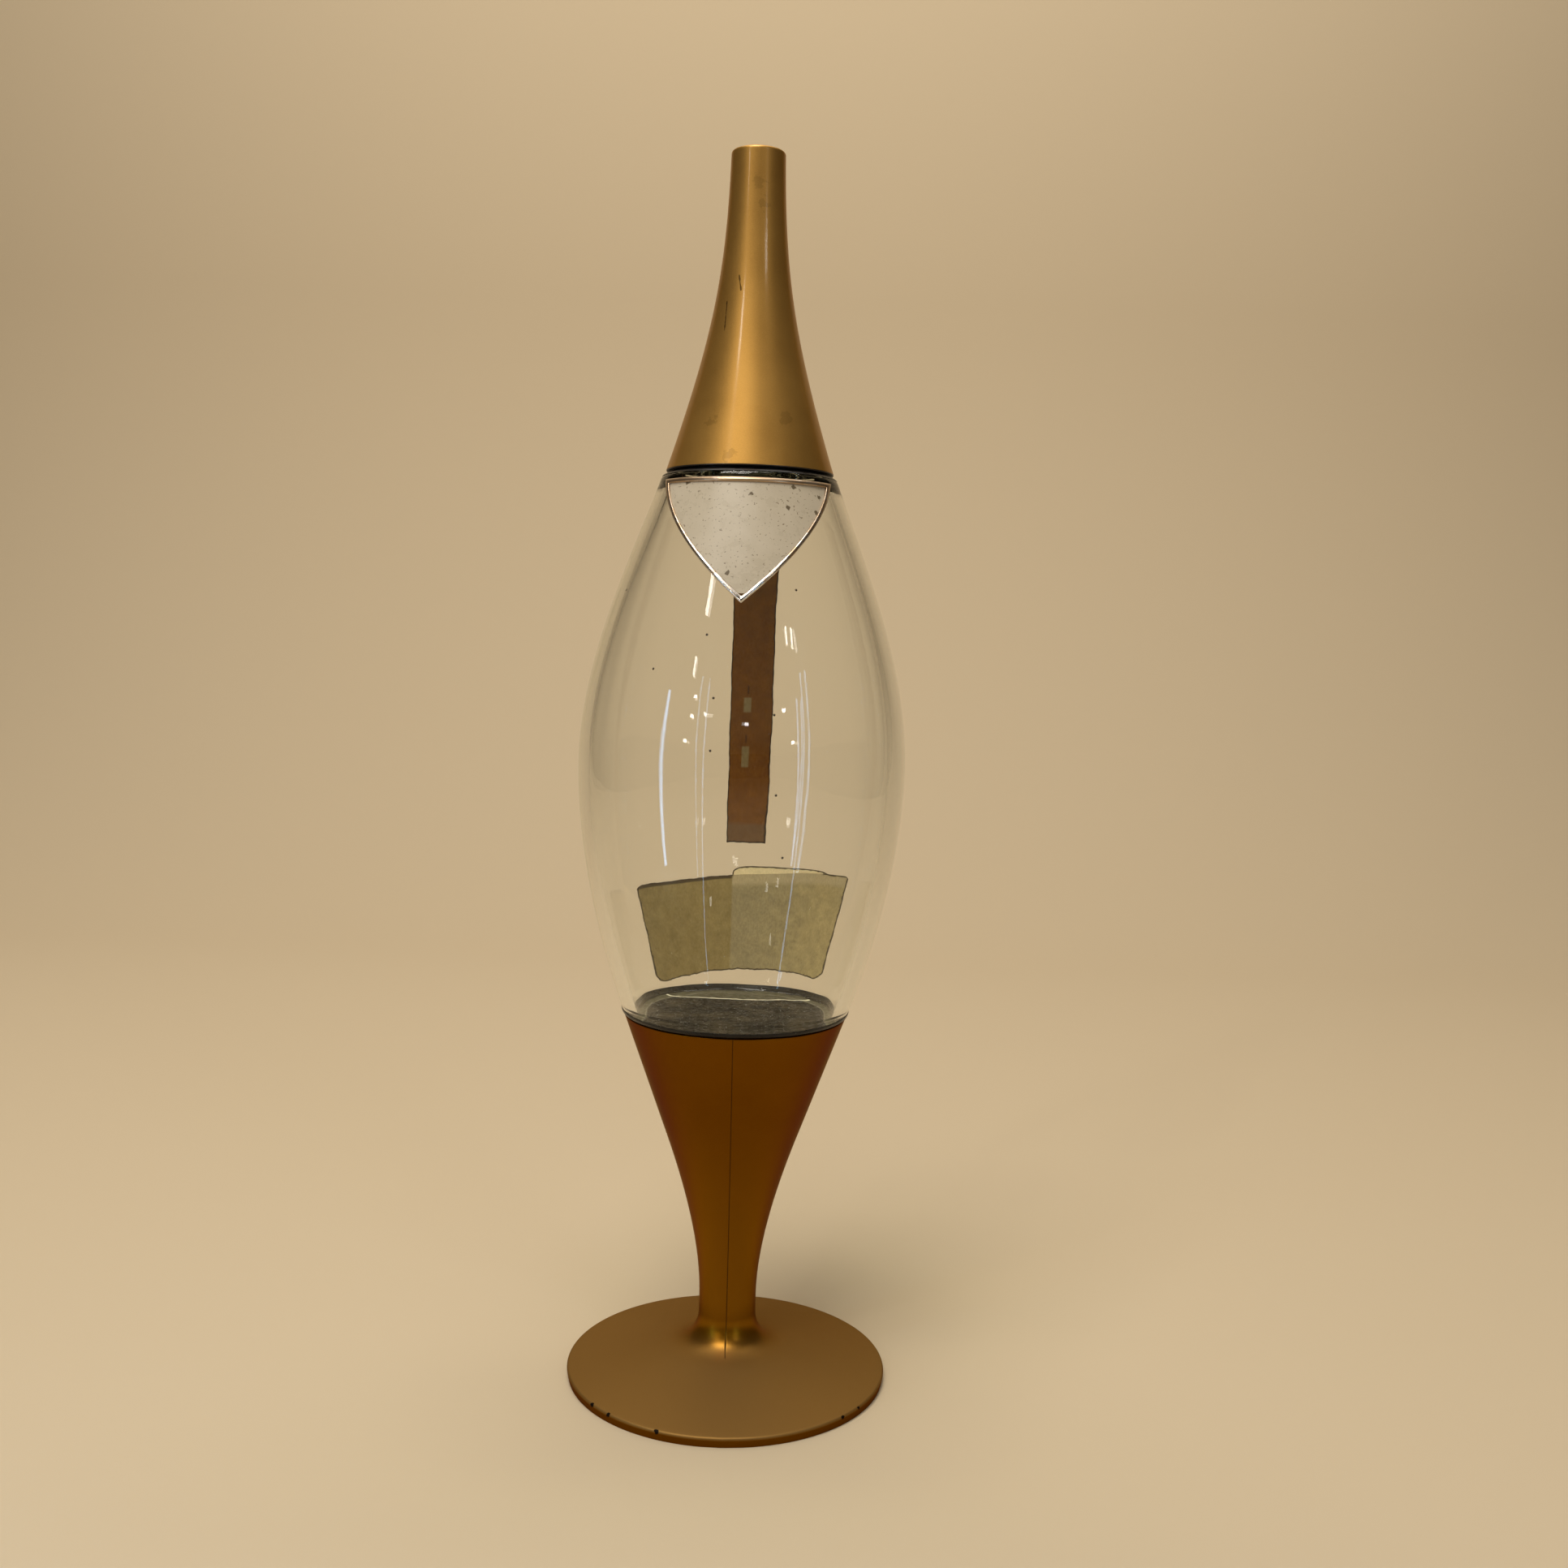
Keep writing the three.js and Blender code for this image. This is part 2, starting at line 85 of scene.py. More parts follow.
foot_radius, _, pedestal_top = node_size("pedestal")
belly_radius, plug_bottom, lip_top = node_size("glass_bottle")
cap_rim_radius, cap_bottom, cap_top = node_size("cap_cone")
flange_radius, flange_bottom, plate_top = node_size("stopper_body")
cork_radius, cork_bottom, cork_top = node_size("stopper_cork")
print(f"foot {foot_radius:.1f}, belly {belly_radius:.1f}, cap rim {cap_rim_radius:.1f} mm in radius")

# %% [markdown]
# The camera stands half a metre away, a little above the middle of the glass, pointing slightly down and
# rolled a little. These values come from fitting the rings of the foot, the joint and the cap's rim with
# one camera. The shield faces the -Y side exactly, and the camera stands 2.2 degrees to one side of it.

# %% Camera
photo_width = 1932
focal_length_pixels = 1935
camera_distance = 0.485
camera_height = 0.2319
camera_side_step = math.radians(2.2)
camera_pan = math.radians(1.555)
camera_dip = math.radians(5.1)
camera_roll = math.radians(1.715)
full_frame_sensor = 36.0

ahead = Vector((
    math.sin(camera_pan) * math.cos(camera_dip),
    math.cos(camera_pan) * math.cos(camera_dip),
    -math.sin(camera_dip),
))
level_right = Vector((math.cos(camera_pan), -math.sin(camera_pan), 0))
level_up = level_right.cross(ahead)
right = level_right * math.cos(camera_roll) + level_up * math.sin(camera_roll)
up = level_up * math.cos(camera_roll) - level_right * math.sin(camera_roll)
pose = Matrix((right, up, -ahead)).transposed().to_4x4()
pose.translation = Vector((0, -camera_distance, camera_height))

lens = bpy.data.cameras.new("camera")
lens.sensor_width = full_frame_sensor
lens.lens = full_frame_sensor * focal_length_pixels / photo_width
camera = bpy.data.objects.new("camera", lens)
camera.matrix_world = Matrix.Rotation(camera_side_step, 4, "Z") @ pose
bpy.context.scene.collection.objects.link(camera)
bpy.context.scene.camera = camera
print("camera at", tuple(round(c, 4) for c in camera.matrix_world.translation))

# %% [markdown]
# The studio is one pale sheet that runs along the floor and curves up behind the decanter, as in a
# photographer's studio. A curve instead of a corner leaves no line for the glass to bend. The sheet is no
# wider than such rolls are, so the dim room beyond it draws the darker edges of glass and gold.

# %% Node helper and the studio sheet
def is_socket(value):
    return isinstance(value, bpy.types.NodeSocket)


def node(kind, inputs, beside=None, **settings):
    """A new node, in the tree of the first socket it is linked to or of the node it stands beside."""
    sockets = [value for value in inputs.values() if is_socket(value)]
    tree = (sockets[0] if sockets else beside).id_data
    made = tree.nodes.new(kind)
    for name, value in settings.items():
        setattr(made, name, value)
    for name, value in inputs.items():
        if is_socket(value):
            tree.links.new(value, made.inputs[name])
        else:
            made.inputs[name].default_value = value
    return made


def new_finish(name):
    finish = bpy.data.materials.new(name)
    finish.use_nodes = True
    return finish, finish.node_tree.nodes["Principled BSDF"]


def mesh_piece(name, vertices, faces, finishes):
    mesh = bpy.data.meshes.new(name)
    mesh.from_pydata([tuple(v) for v in vertices], [], faces)
    mesh.validate()
    for finish in finishes:
        mesh.materials.append(finish)
    mesh.shade_smooth()
    piece = bpy.data.objects.new(name, mesh)
    bpy.context.scene.collection.objects.link(piece)
    return piece


sheet_reach = 2.4
sheet_half_width = 1.3
sheet_back = 1.25
sheet_bend = 0.6
sheet_top = 2.6
bend_angles = np.linspace(-math.pi / 2, 0, 25)
sheet_line = [(-sheet_reach, 0.0)]
for angle in bend_angles:
    y = sheet_back - sheet_bend + sheet_bend * math.cos(angle)
    sheet_line.append((y, sheet_bend + sheet_bend * math.sin(angle)))
sheet_line.append((sheet_back, sheet_top))

paper, shader = new_finish("studio_sheet")
shader.inputs["Base Color"].default_value = (0.62, 0.505, 0.34, 1)
shader.inputs["Roughness"].default_value = 0.9
shader.inputs["Specular IOR Level"].default_value = 0.1
sheet_points = [(x, y, z) for y, z in sheet_line for x in (-sheet_half_width, sheet_half_width)]
sheet_faces = [(2 * i, 2 * i + 1, 2 * i + 3, 2 * i + 2) for i in range(len(sheet_line) - 1)]
studio_sheet = mesh_piece("studio_sheet", sheet_points, sheet_faces, [paper])
studio_sheet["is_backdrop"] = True

# %% [markdown]
# Glass and satin metal show a lamp as a streak of its own shape, so two tall thin lamps in front draw the
# long streaks down the glass and the cap. Where they stand follows from the mirror rule: the streak on
# the left of the glass is where a lamp 50 degrees round to the left and level with the glass would show.
# They are too thin to light much. The light comes from a wide soft lamp high in front and another
# overhead, both too high for the glass to mirror, and one more lights the sheet behind. Four small lamps
# give the larger glints and seven lower ones the fine ones. The world is left dim: glass mirrors whatever
# surrounds it, and a bright world would lay a grey veil over the dark things inside.

# %% Lamps and world
def lamp(name, azimuth, distance, height, width, tall, watts, colour, target=None):
    light = bpy.data.lights.new(name, "AREA")
    light.shape = "RECTANGLE"
    light.size, light.size_y = width, tall
    light.energy = watts
    light.color = colour
    turn = math.radians(azimuth)
    place = Vector((math.sin(turn) * distance, -math.cos(turn) * distance, height))
    holder = bpy.data.objects.new(name, light)
    holder.location = place
    aim = Vector(target or (0, 0, height)) - place
    holder.rotation_euler = aim.to_track_quat("-Z", "Y").to_euler()
    holder.visible_camera = False
    bpy.context.scene.collection.objects.link(holder)


warm_white = (1.0, 0.95, 0.88)
sky_blue = (0.36, 0.62, 1.0)
middle_height = 0.2
belly_centre = (0, 0, middle_height)
behind_the_glass = (0, sheet_back, 0.5)
strip_far, strip_height, strip_tall = 0.43, 0.175, 0.34
glint_far = 1.1
lamp("left_strip", -50.5, strip_far, strip_height, 0.014, strip_tall, 0.19, sky_blue)
lamp("right_strip", 38.5, strip_far, strip_height, 0.008, strip_tall, 0.105, sky_blue)
lamp("high_front", -25, 0.65, 1.65, 0.8, 0.8, 16.9, warm_white, belly_centre)
lamp("overhead", 0, 0.1, 1.5, 0.8, 0.8, 4.0, warm_white, belly_centre)
lamp("sheet_lamp", 180, 0.5, 1.7, 1.8, 0.5, 11.2, warm_white, behind_the_glass)


def glint_lamp(name, azimuth, elevation, wide, tall, watts):
    """A small lamp at so many degrees round to the right and so many up from the belly."""
    rise = middle_height + glint_far * math.tan(math.radians(elevation))
    lamp(f"{name}_{azimuth}", azimuth, glint_far, rise, wide, tall, watts, warm_white, belly_centre)


larger_glints = ((-33, 38, 0.05), (-36, 25, 0.03), (36, 32, 0.025), (40.5, 31, 0.03))
fine_glints = (
    (-32.5, 18.5), (-33.5, 13.5), (-37, 6.5), (-24, 14.5), (30, 16), (36, 7), (4.5, 12.5),
)
glint_power = 300
fine_wide, fine_tall, fine_watts = 0.045, 0.018, 0.13
for azimuth, elevation, wide in larger_glints:
    glint_lamp("glint", azimuth, elevation, wide, 3 * wide, glint_power * wide ** 2)
for azimuth, elevation in fine_glints:
    glint_lamp("far", azimuth, elevation, fine_wide, fine_tall, fine_watts)
print("lamps:", len(bpy.data.lights))

world = bpy.data.worlds.new("room")
world.use_nodes = True
bpy.context.scene.world = world
room = world.node_tree.nodes["Background"]
room.inputs["Color"].default_value = (1.0, 0.70, 0.36, 1)
room.inputs["Strength"].default_value = 0.035
bpy.context.scene.view_settings.view_transform = "Standard"

# %% [markdown]
# Near its outline the wall of the glass is seen along its length, and light can bounce many times inside
# it. A path that is cut off early comes back black and draws a hard dark line there, so the number of
# bounces is raised.

# %% Bounces inside the glass
paths = bpy.context.scene.cycles
paths.max_bounces = 24
paths.glossy_bounces = 16
paths.transmission_bounces = 24

# %% [markdown]
# Outlines are lists of points: how far from the axis, and how high. Smooth stretches are Bezier curves,
# which need only two end points and one or two pulls, just as a flexible batten does. A fillet rounds a
# corner, and an offset gives the far face of a wall of even thickness. Straight stretches get points of
# their own, which stop a few millimetres short of a corner, so that no face is far longer than the next.

# %% Outline helpers
least_gap = 0.2


def line(start, end, steps):
    return np.linspace(start, end, steps + 1)


def bow(start, pull, end, steps=24):
    t = np.linspace(0, 1, steps + 1)[:, None]
    start, pull, end = map(np.array, (start, pull, end))
    return (1 - t) ** 2 * start + 2 * t * (1 - t) * pull + t ** 2 * end


def sweep(start, first, second, end, steps):
    t = np.linspace(0, 1, steps + 1)[:, None]
    start, first, second, end = map(np.array, (start, first, second, end))
    early = (1 - t) ** 3 * start + 3 * t * (1 - t) ** 2 * first
    return early + 3 * t ** 2 * (1 - t) * second + t ** 3 * end


def fillet(before, corner, after, radius, steps=8):
    before, corner, after = map(np.array, (before, corner, after))
    back = (before - corner) / np.linalg.norm(before - corner)
    on = (after - corner) / np.linalg.norm(after - corner)
    reach = radius / math.tan(math.acos(np.clip(back @ on, -1, 1)) / 2)
    return bow(corner + back * reach, corner, corner + on * reach, steps)


def offset(outline, inwards):
    along = np.gradient(outline, axis=0)
    along /= np.linalg.norm(along, axis=1)[:, None]
    return outline + inwards * np.column_stack((-along[:, 1], along[:, 0]))


def radius_at(outline, height):
    return np.interp(height, outline[:, 1], outline[:, 0])


def cut(outline, low, high):
    """The stretch of an outline between two heights, with no old point too close to a new end."""
    inside = outline[(outline[:, 1] > low + least_gap) & (outline[:, 1] < high - least_gap)]
    ends = [(radius_at(outline, height), height) for height in (low, high)]
    return np.concatenate((ends[:1], inside, ends[1:]))


# %% [markdown]
# A turned mesh is a stack of rings with the same number of points, joined by four-sided faces. A ring of
# one point is a pole on the axis, and triangles join it to the next ring.

# %% Rings to meshes
ON_AXIS = 1e-6
plain_angles = math.pi / 2 + np.linspace(0, 2 * math.pi, 192, endpoint=False)


def ring(radius, height, angles=plain_angles):
    if np.ndim(radius) == 0 and radius < ON_AXIS:
        return np.array([[0, 0, height]])
    heights = np.full(len(angles), height)
    return np.column_stack((radius * np.cos(angles), radius * np.sin(angles), heights))


def turned_rings(outline):
    return [ring(radius, height) for radius, height in outline]


def join_rings(rings):
    faces, first = [], 0
    for low, high in zip(rings, rings[1:]):
        a, b = len(low), len(high)
        top = first + a
        if a == b:
            faces += [(first + i, first + (i + 1) % a, top + (i + 1) % a, top + i) for i in range(a)]
        elif a == 1:
            faces += [(first, top + (i + 1) % b, top + i) for i in range(b)]
        else:
            faces += [(first + i, first + (i + 1) % a, top) for i in range(a)]
        first = top
    return faces


def turned_piece(name, rings, finishes, crease=35):
    piece = mesh_piece(name, np.concatenate(rings) * MM, join_rings(rings), finishes)
    piece.data.set_sharp_from_angle(angle=math.radians(crease))
    print(f"{name}: {len(piece.data.polygons)} faces")
    return piece


def second_finish(piece, takes_it):
    """Gives the second finish to the faces that a rule takes, by radius and height in millimetres."""
    for face in piece.data.polygons:
        middle = face.center / MM
        if takes_it(math.hypot(middle.x, middle.y), middle.z):
            face.material_index = 1


# %% [markdown]
# Painted pieces carry small marks: scratches, rubbed edges, chips where the black plastic shows. Each is
# a mask, a grey value from 0 to 1 that mixes one colour into another. The masks are worked out from a
# place on the piece in metres, so they stay put when the piece moves or is seen from another side. Every
# socket knows the node tree it belongs to, so the helpers need only the sockets.

# %% Mask helpers
def place_on(shader):
    return node("ShaderNodeTexCoord", {}, shader).outputs["Object"]


def kept_distance(place, name):
    """A distance in millimetres that was kept on the mesh."""
    return node("ShaderNodeAttribute", {}, place, attribute_name=name).outputs["Fac"]


def coordinate(place, axis):
    return node("ShaderNodeSeparateXYZ", {"Vector": place}).outputs[axis]


def stretched(place, scale):
    return node("ShaderNodeMapping", {"Vector": place, "Scale": scale}).outputs[0]


def grain(place, scale, detail, roughness=0.5):
    inputs = {"Vector": place, "Scale": scale, "Detail": detail, "Roughness": roughness}
    return node("ShaderNodeTexNoise", inputs).outputs[0]


def ranged(value, low, high, to_low=0.0, to_high=1.0, smooth=False):
    inputs = {"Value": value, "From Min": low, "From Max": high, "To Min": to_low, "To Max": to_high}
    made = node("ShaderNodeMapRange", inputs)
    if smooth:
        made.interpolation_type = "SMOOTHSTEP"
    return made.outputs[0]


def maths(operation, a, b):
    return node("ShaderNodeMath", {0: a, 1: b}, operation=operation).outputs[0]


def both(a, b):
    return maths("MULTIPLY", a, b)


def any_of(masks):
    together = masks[0]
    for mask in masks[1:]:
        together = maths("MAXIMUM", together, mask)
    return together


def uneven(value, noise, amount):
    """A value that a noise shifts up and down by at most that amount."""
    return maths("ADD", value, ranged(noise, 0.3, 0.7, -amount, amount))


def vectors(operation, inputs):
    made = node("ShaderNodeVectorMath", inputs, operation=operation)
    return made.outputs["Value" if operation in ("DISTANCE", "LENGTH", "DOT_PRODUCT") else "Vector"]


def blend(factor, a, b):
    a, b = (colour if is_socket(colour) else (*colour, 1) for colour in (a, b))
    return node("ShaderNodeMix", {0: factor, 6: a, 7: b}, data_type="RGBA").outputs[2]


def tinge(colour, mask, share, other):
    """Mixes at most that share of another colour in where the mask is 1."""
    return blend(both(mask, share), colour, other)


def spot(place, centre, radius, ragged=0.5, fineness=900.0):
    """A ragged spot round a point, 1 inside and 0 outside."""
    away = vectors("DISTANCE", {0: place, 1: centre})
    return ranged(uneven(away, grain(place, fineness, 3), ragged * radius), radius, radius * 0.8)


def band(value, low, high, soft):
    return both(ranged(value, low - soft, low + soft), ranged(value, high + soft, high - soft))


def show(shader, colour, rough):
    shader.id_data.links.new(colour, shader.inputs["Base Color"])
    shader.id_data.links.new(rough, shader.inputs["Roughness"])


def relief(shader, height, strength, distance):
    inputs = {"Strength": strength, "Distance": distance, "Height": height}
    shader.id_data.links.new(node("ShaderNodeBump", inputs).outputs[0], shader.inputs["Normal"])


# %% [markdown]
# The black plastic under the gold shows inside the trumpet, under the foot, at the cap's bare rim and
# where the gold has chipped. A flat black would look like a hole, so a slow smudge varies its shine and a
# fine grain breaks it up. The soft black of the seals is the same recipe, deeper and with less of a
# mirror.

# %% Black plastic and black seal
def black_finish(name, smudge_scale, dark, light, smooth, rough, mirror, fineness, depth):
    finish, shader = new_finish(name)
    place = place_on(shader)
    smudge = grain(place, smudge_scale, 3)
    show(shader, blend(smudge, dark, light), ranged(smudge, 0.3, 0.7, smooth, rough))
    shader.inputs["Specular IOR Level"].default_value = mirror
    relief(shader, grain(place, fineness, 2), 0.15, depth)
    return finish


black_plastic = black_finish(
    "black_plastic", smudge_scale=90, dark=(0.010, 0.008, 0.007), light=(0.026, 0.021, 0.017),
    smooth=0.28, rough=0.45, mirror=0.5, fineness=2500, depth=0.00004,
)
black_seal = black_finish(
    "black_seal", smudge_scale=240, dark=(0.004, 0.003, 0.003), light=(0.014, 0.011, 0.008),
    smooth=0.22, rough=0.38, mirror=0.22, fineness=1800, depth=0.00003,
)
print("blacks:", black_plastic.name, "and", black_seal.name)

# %% [markdown]
# The pedestal is one hollow moulding. Its outline starts on the axis under the web that closes the stem,
# runs down the cored hollow, round the foot, up the trumpet, over the mouth and down the funnel to the
# web again, so one line closes the whole solid.

# %% Pedestal outline
foot_edge = 3.0
foot_edge_round = 0.9
foot_slope = 0.215
foot_ring = 2.6
sweep_out = 18.0
waist = 9.0
waist_low, waist_high = 20.0, 25.0
flare_pull = 45.6
flare_end = np.array((20.8, 78.0))
mouth = np.array((34.7, pedestal_top))
plastic_wall = 2.2
web_low, web_high = 40.0, 44.0
rim_round = 0.35


def foot_top(radius, below=0.0):
    return foot_edge + foot_slope * (foot_radius - radius) - below


sweep_start = (sweep_out, foot_top(sweep_out))
edge_corner = (foot_radius, foot_edge)
foot_line = np.concatenate((
    [(foot_radius - foot_edge_round / 2, 0)],
    fillet((foot_radius, 0), edge_corner, sweep_start, foot_edge_round),
    line((foot_radius - 2, foot_top(foot_radius - 2)), (sweep_out + 1, foot_top(sweep_out + 1)), 12),
    bow(sweep_start, (waist, foot_top(waist)), (waist, waist_low), 26),
))
flare_line = bow((waist, waist_high), (waist, flare_pull), flare_end, 30)
trumpet_line = np.concatenate((flare_line, line(flare_end, mouth, 16)[1:]))
inner_mouth = mouth - (plastic_wall, 0)
mouth_line = np.concatenate((
    fillet(flare_end, mouth, inner_mouth, rim_round, 5),
    fillet(mouth, inner_mouth, inner_mouth - (0, 5), rim_round, 5),
))
funnel_line = cut(offset(trumpet_line, plastic_wall), web_high, pedestal_top - 5)[::-1]
core_radius = waist - plastic_wall
core_sweep = bow(
    (core_radius, waist_low),
    (core_radius, foot_top(core_radius, plastic_wall)),
    (sweep_out, foot_top(sweep_out, plastic_wall)),
)
ring_inside = foot_radius - foot_ring
core_line = np.concatenate((
    [(0, web_low), (core_radius - 0.6, web_low)],
    core_sweep,
    [(ring_inside, foot_top(ring_inside, plastic_wall)), (ring_inside, 0)],
))
pedestal_line = np.concatenate((
    core_line, foot_line, trumpet_line[:-1], mouth_line, funnel_line, [(0, web_high)],
))
print("pedestal outline:", len(pedestal_line), "points")

# %% [markdown]
# A fine parting line runs down the front and the back of the trumpet, where the two halves of the mould
# met. It is under half a millimetre wide, and an even spread of columns would miss it. So seven sit close
# together at each parting line, at the same distance in millimetres whatever the radius, and the middle
# ones are pressed in. The distance from the line is also kept on the mesh, for the paint to use.

# %% Pedestal mesh
parting_turn = math.radians(1.4)
parting_depth = 0.14
parting_half_width = 0.22
parting_columns = np.array((-0.9, -0.45, -parting_half_width, 0, parting_half_width, 0.45, 0.9))
parting_free = math.radians(7)
front_parting = -math.pi / 2 + parting_turn
turn_steps = np.linspace(parting_free, math.pi - parting_free, 92)


def pedestal_ring(radius, height):
    if radius < ON_AXIS:
        return ring(radius, height)
    close = parting_columns / max(radius, waist - plastic_wall - 0.6)
    angles = np.concatenate((close, turn_steps, math.pi + close, math.pi + turn_steps))
    on_trumpet = np.clip((sweep_out - radius) / 3, 0, 1) if height < waist_low else 1.0
    outside = height > foot_edge
    if height > waist_high:
        outside = radius > radius_at(trumpet_line, height) - 0.5
    press = parting_depth * on_trumpet if outside else 0
    side = np.abs((angles + math.pi / 2) % math.pi - math.pi / 2) * radius
    pressed = radius - press * np.clip(1 - side / parting_half_width, 0, 1)
    return ring(pressed, height, front_parting + angles)


pedestal_rings = [pedestal_ring(radius, height) for radius, height in pedestal_line]

# %% [markdown]
# The gold is a satin metallic lacquer sprayed on the black plastic. Solid gold would be the wrong recipe:
# the lacquer is fine flakes in a clear film, less mirror-like and browner than metal. So Metallic stays
# under 1, a very fine grain stands for the flakes, and a slow cloud varies the colour and the shine as
# handling does. Where the metal is seen at a slant its mirror would go white, so the Specular Tint and a
# low Specular IOR Level keep the edges dark and gold. On the cap a thin coat stands for the clear film.
# The trumpet has none. Its colour is painted shade: the same lacquer is mixed far darker than the cap's,
# because its flank leans outwards and mirrors the pale floor. Further down, on the stem and the foot, the
# paint is mixed lighter again: a painted highlight on the stem and painted light on the foot.

# %% Gold lacquer
def gold_lacquer(name, bright, deep, edge_tint, rough_low, coat, marks):
    finish, shader = new_finish(name)
    place = place_on(shader)
    cloud = ranged(grain(place, 28, 4, 0.6), 0.3, 0.7)
    flakes = grain(place, 5200, 1)
    colour = blend(cloud, deep, bright)
    sparkle = ranged(flakes, 0.35, 0.75, 0.0, 0.22)
    colour = blend(sparkle, colour, tuple(min(1, 1.6 * c) for c in bright))
    rough = ranged(uneven(cloud, flakes, 0.4), 0, 1, rough_low, rough_low + 0.08)
    colour, rough = marks(place, colour, rough)
    show(shader, colour, rough)
    shader.inputs["Metallic"].default_value = 0.82
    shader.inputs["Specular IOR Level"].default_value = 0.12
    shader.inputs["Specular Tint"].default_value = (*edge_tint, 1)
    shader.inputs["Coat Weight"].default_value = coat
    shader.inputs["Coat Roughness"].default_value = 0.12
    relief(shader, maths("ADD", flakes, grain(place, 700, 2)), 0.12, 0.00003)
    return finish


# %% [markdown]
# The pedestal's own marks: the parting line is shaded, seven chips on the foot's edge show black, and
# the foot is duller than the trumpet. The stem is mixed lighter as a painted highlight, and the foot as
# painted light. No gold was sprayed into the trumpet or under the foot, so the faces there keep the
# bare black.

# %% Pedestal finish and piece
chip_azimuths = (-21, -41, -50, 47, 56, 128, 203)
chip_height = foot_edge - 0.3
chip_radius = 0.0008
above_edge, stem_highlight_fade, foot_light_fade = (0.0021, 0.0028), (0.092, 0.030), (0.016, 0.009)
dull_from, dull_at = 0.013, 0.0095
trumpet_smoother, foot_duller = -0.04, 0.22
stem_painted_highlight, foot_painted_light = (0.34, 0.15, 0.008), (0.28, 0.165, 0.055)
seam_shade, chip_black = (0.03, 0.015, 0.006), (0.014, 0.010, 0.008)


def chip_point(azimuth):
    turn = math.radians(azimuth) - math.pi / 2
    return foot_radius * MM * math.cos(turn), foot_radius * MM * math.sin(turn), chip_height * MM


def pedestal_marks(place, colour, rough):
    seam = ranged(kept_distance(place, "parting_mm"), 0.2, 0.07)
    height = coordinate(place, "Z")
    off_edge = ranged(height, *above_edge)
    # Painted highlight: the stem is mixed lighter.
    colour = tinge(colour, both(ranged(height, *stem_highlight_fade, smooth=True), off_edge), 0.55, stem_painted_highlight)
    # Painted light: the foot is mixed lighter and greyer.
    colour = tinge(colour, both(ranged(height, *foot_light_fade, smooth=True), off_edge), 0.8, foot_painted_light)
    colour = tinge(colour, seam, 0.75, seam_shade)
    chipped = any_of([spot(place, chip_point(azimuth), chip_radius) for azimuth in chip_azimuths])
    colour = blend(chipped, colour, chip_black)
    duller = ranged(height, dull_from, dull_at, trumpet_smoother, foot_duller)
    return colour, maths("ADD", rough, duller)


# Painted shade: the pedestal's lacquer colours are far darker than the cap's.
pedestal_gold = gold_lacquer(
    "pedestal_gold", bright=(0.172, 0.061, 0.001), deep=(0.138, 0.047, 0.001),
    edge_tint=(0.48, 0.34, 0.0), rough_low=0.34, coat=0.0, marks=pedestal_marks,
)
pedestal = turned_piece("pedestal_turned", pedestal_rings, [pedestal_gold, black_plastic])

co = np.empty(len(pedestal.data.vertices) * 3)
pedestal.data.vertices.foreach_get("co", co)
co = co.reshape(-1, 3) / MM
from_axis = np.hypot(co[:, 0], co[:, 1])
around = np.arctan2(co[:, 1], co[:, 0]) - front_parting
from_parting = np.abs((around + math.pi / 2) % math.pi - math.pi / 2) * from_axis
on_foot_top = (co[:, 2] < waist_low) & (from_axis > sweep_out - 2)
far_from_parting = 9
from_parting[on_foot_top] = far_from_parting
kept = pedestal.data.attributes.new("parting_mm", "FLOAT", "POINT")
kept.data.foreach_set("value", from_parting)


def unpainted(radius, height):
    if height > waist_high:
        return radius < radius_at(trumpet_line, height) - 1.0 and height < pedestal_top - 0.2
    return height < foot_top(radius, 1.0) and radius < foot_radius - foot_edge_round


second_finish(pedestal, unpainted)
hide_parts("pedestal")
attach(pedestal, "pedestal")

# %% [markdown]
# The glass body. Its outside is two curves that meet at the belly, with a small round at the heel and
# at the shoulder. Its inside follows the outside 3.6 mm further in. What makes glass look like glass is
# that it is a closed solid with two faces: light bends on the way in and again on the way out. A single
# sheet would not darken at its edges as the real one does.

# %% Glass outlines
heel = np.array((mouth[0] + 0.15, pedestal_top + 0.3))
belly = np.array((belly_radius, heel[1] + 77.2))
shoulder = np.array((26.4, heel[1] + 165.4))
heel_lean, heel_pull = 0.39, 8.6
belly_pull_down, belly_pull_up = 34, 32.3
shoulder_lean, shoulder_pull = 0.355, 23
glass_wall = 3.6
above_heel = heel + (heel_lean * heel_pull, heel_pull)
below_shoulder = shoulder + (shoulder_lean * shoulder_pull, -shoulder_pull)
body_line = np.concatenate((
    sweep(heel, above_heel, belly - (0, belly_pull_down), belly, 60),
    sweep(belly, belly + (0, belly_pull_up), below_shoulder, shoulder, 80)[1:],
))
neck_radius = 12.8
bore_radius = 9.8
lip_radius = neck_radius + 0.7
lip_tall, lip_round = 6, 1.2
plug_gap = 0.3
plug_taper = 0.38 * 5
plug_dish = 1.2
plug_top = np.array((mouth[0] - plastic_wall - plug_gap, heel[1]))
plug_low = np.array((plug_top[0] - plug_taper, plug_bottom))
heel_round, shoulder_round, floor_round, ceiling_round = 1.4, 3.0, 2.5, 4.0
floor_height = heel[1] - 0.1
ceiling_height = shoulder[1] - 3.6

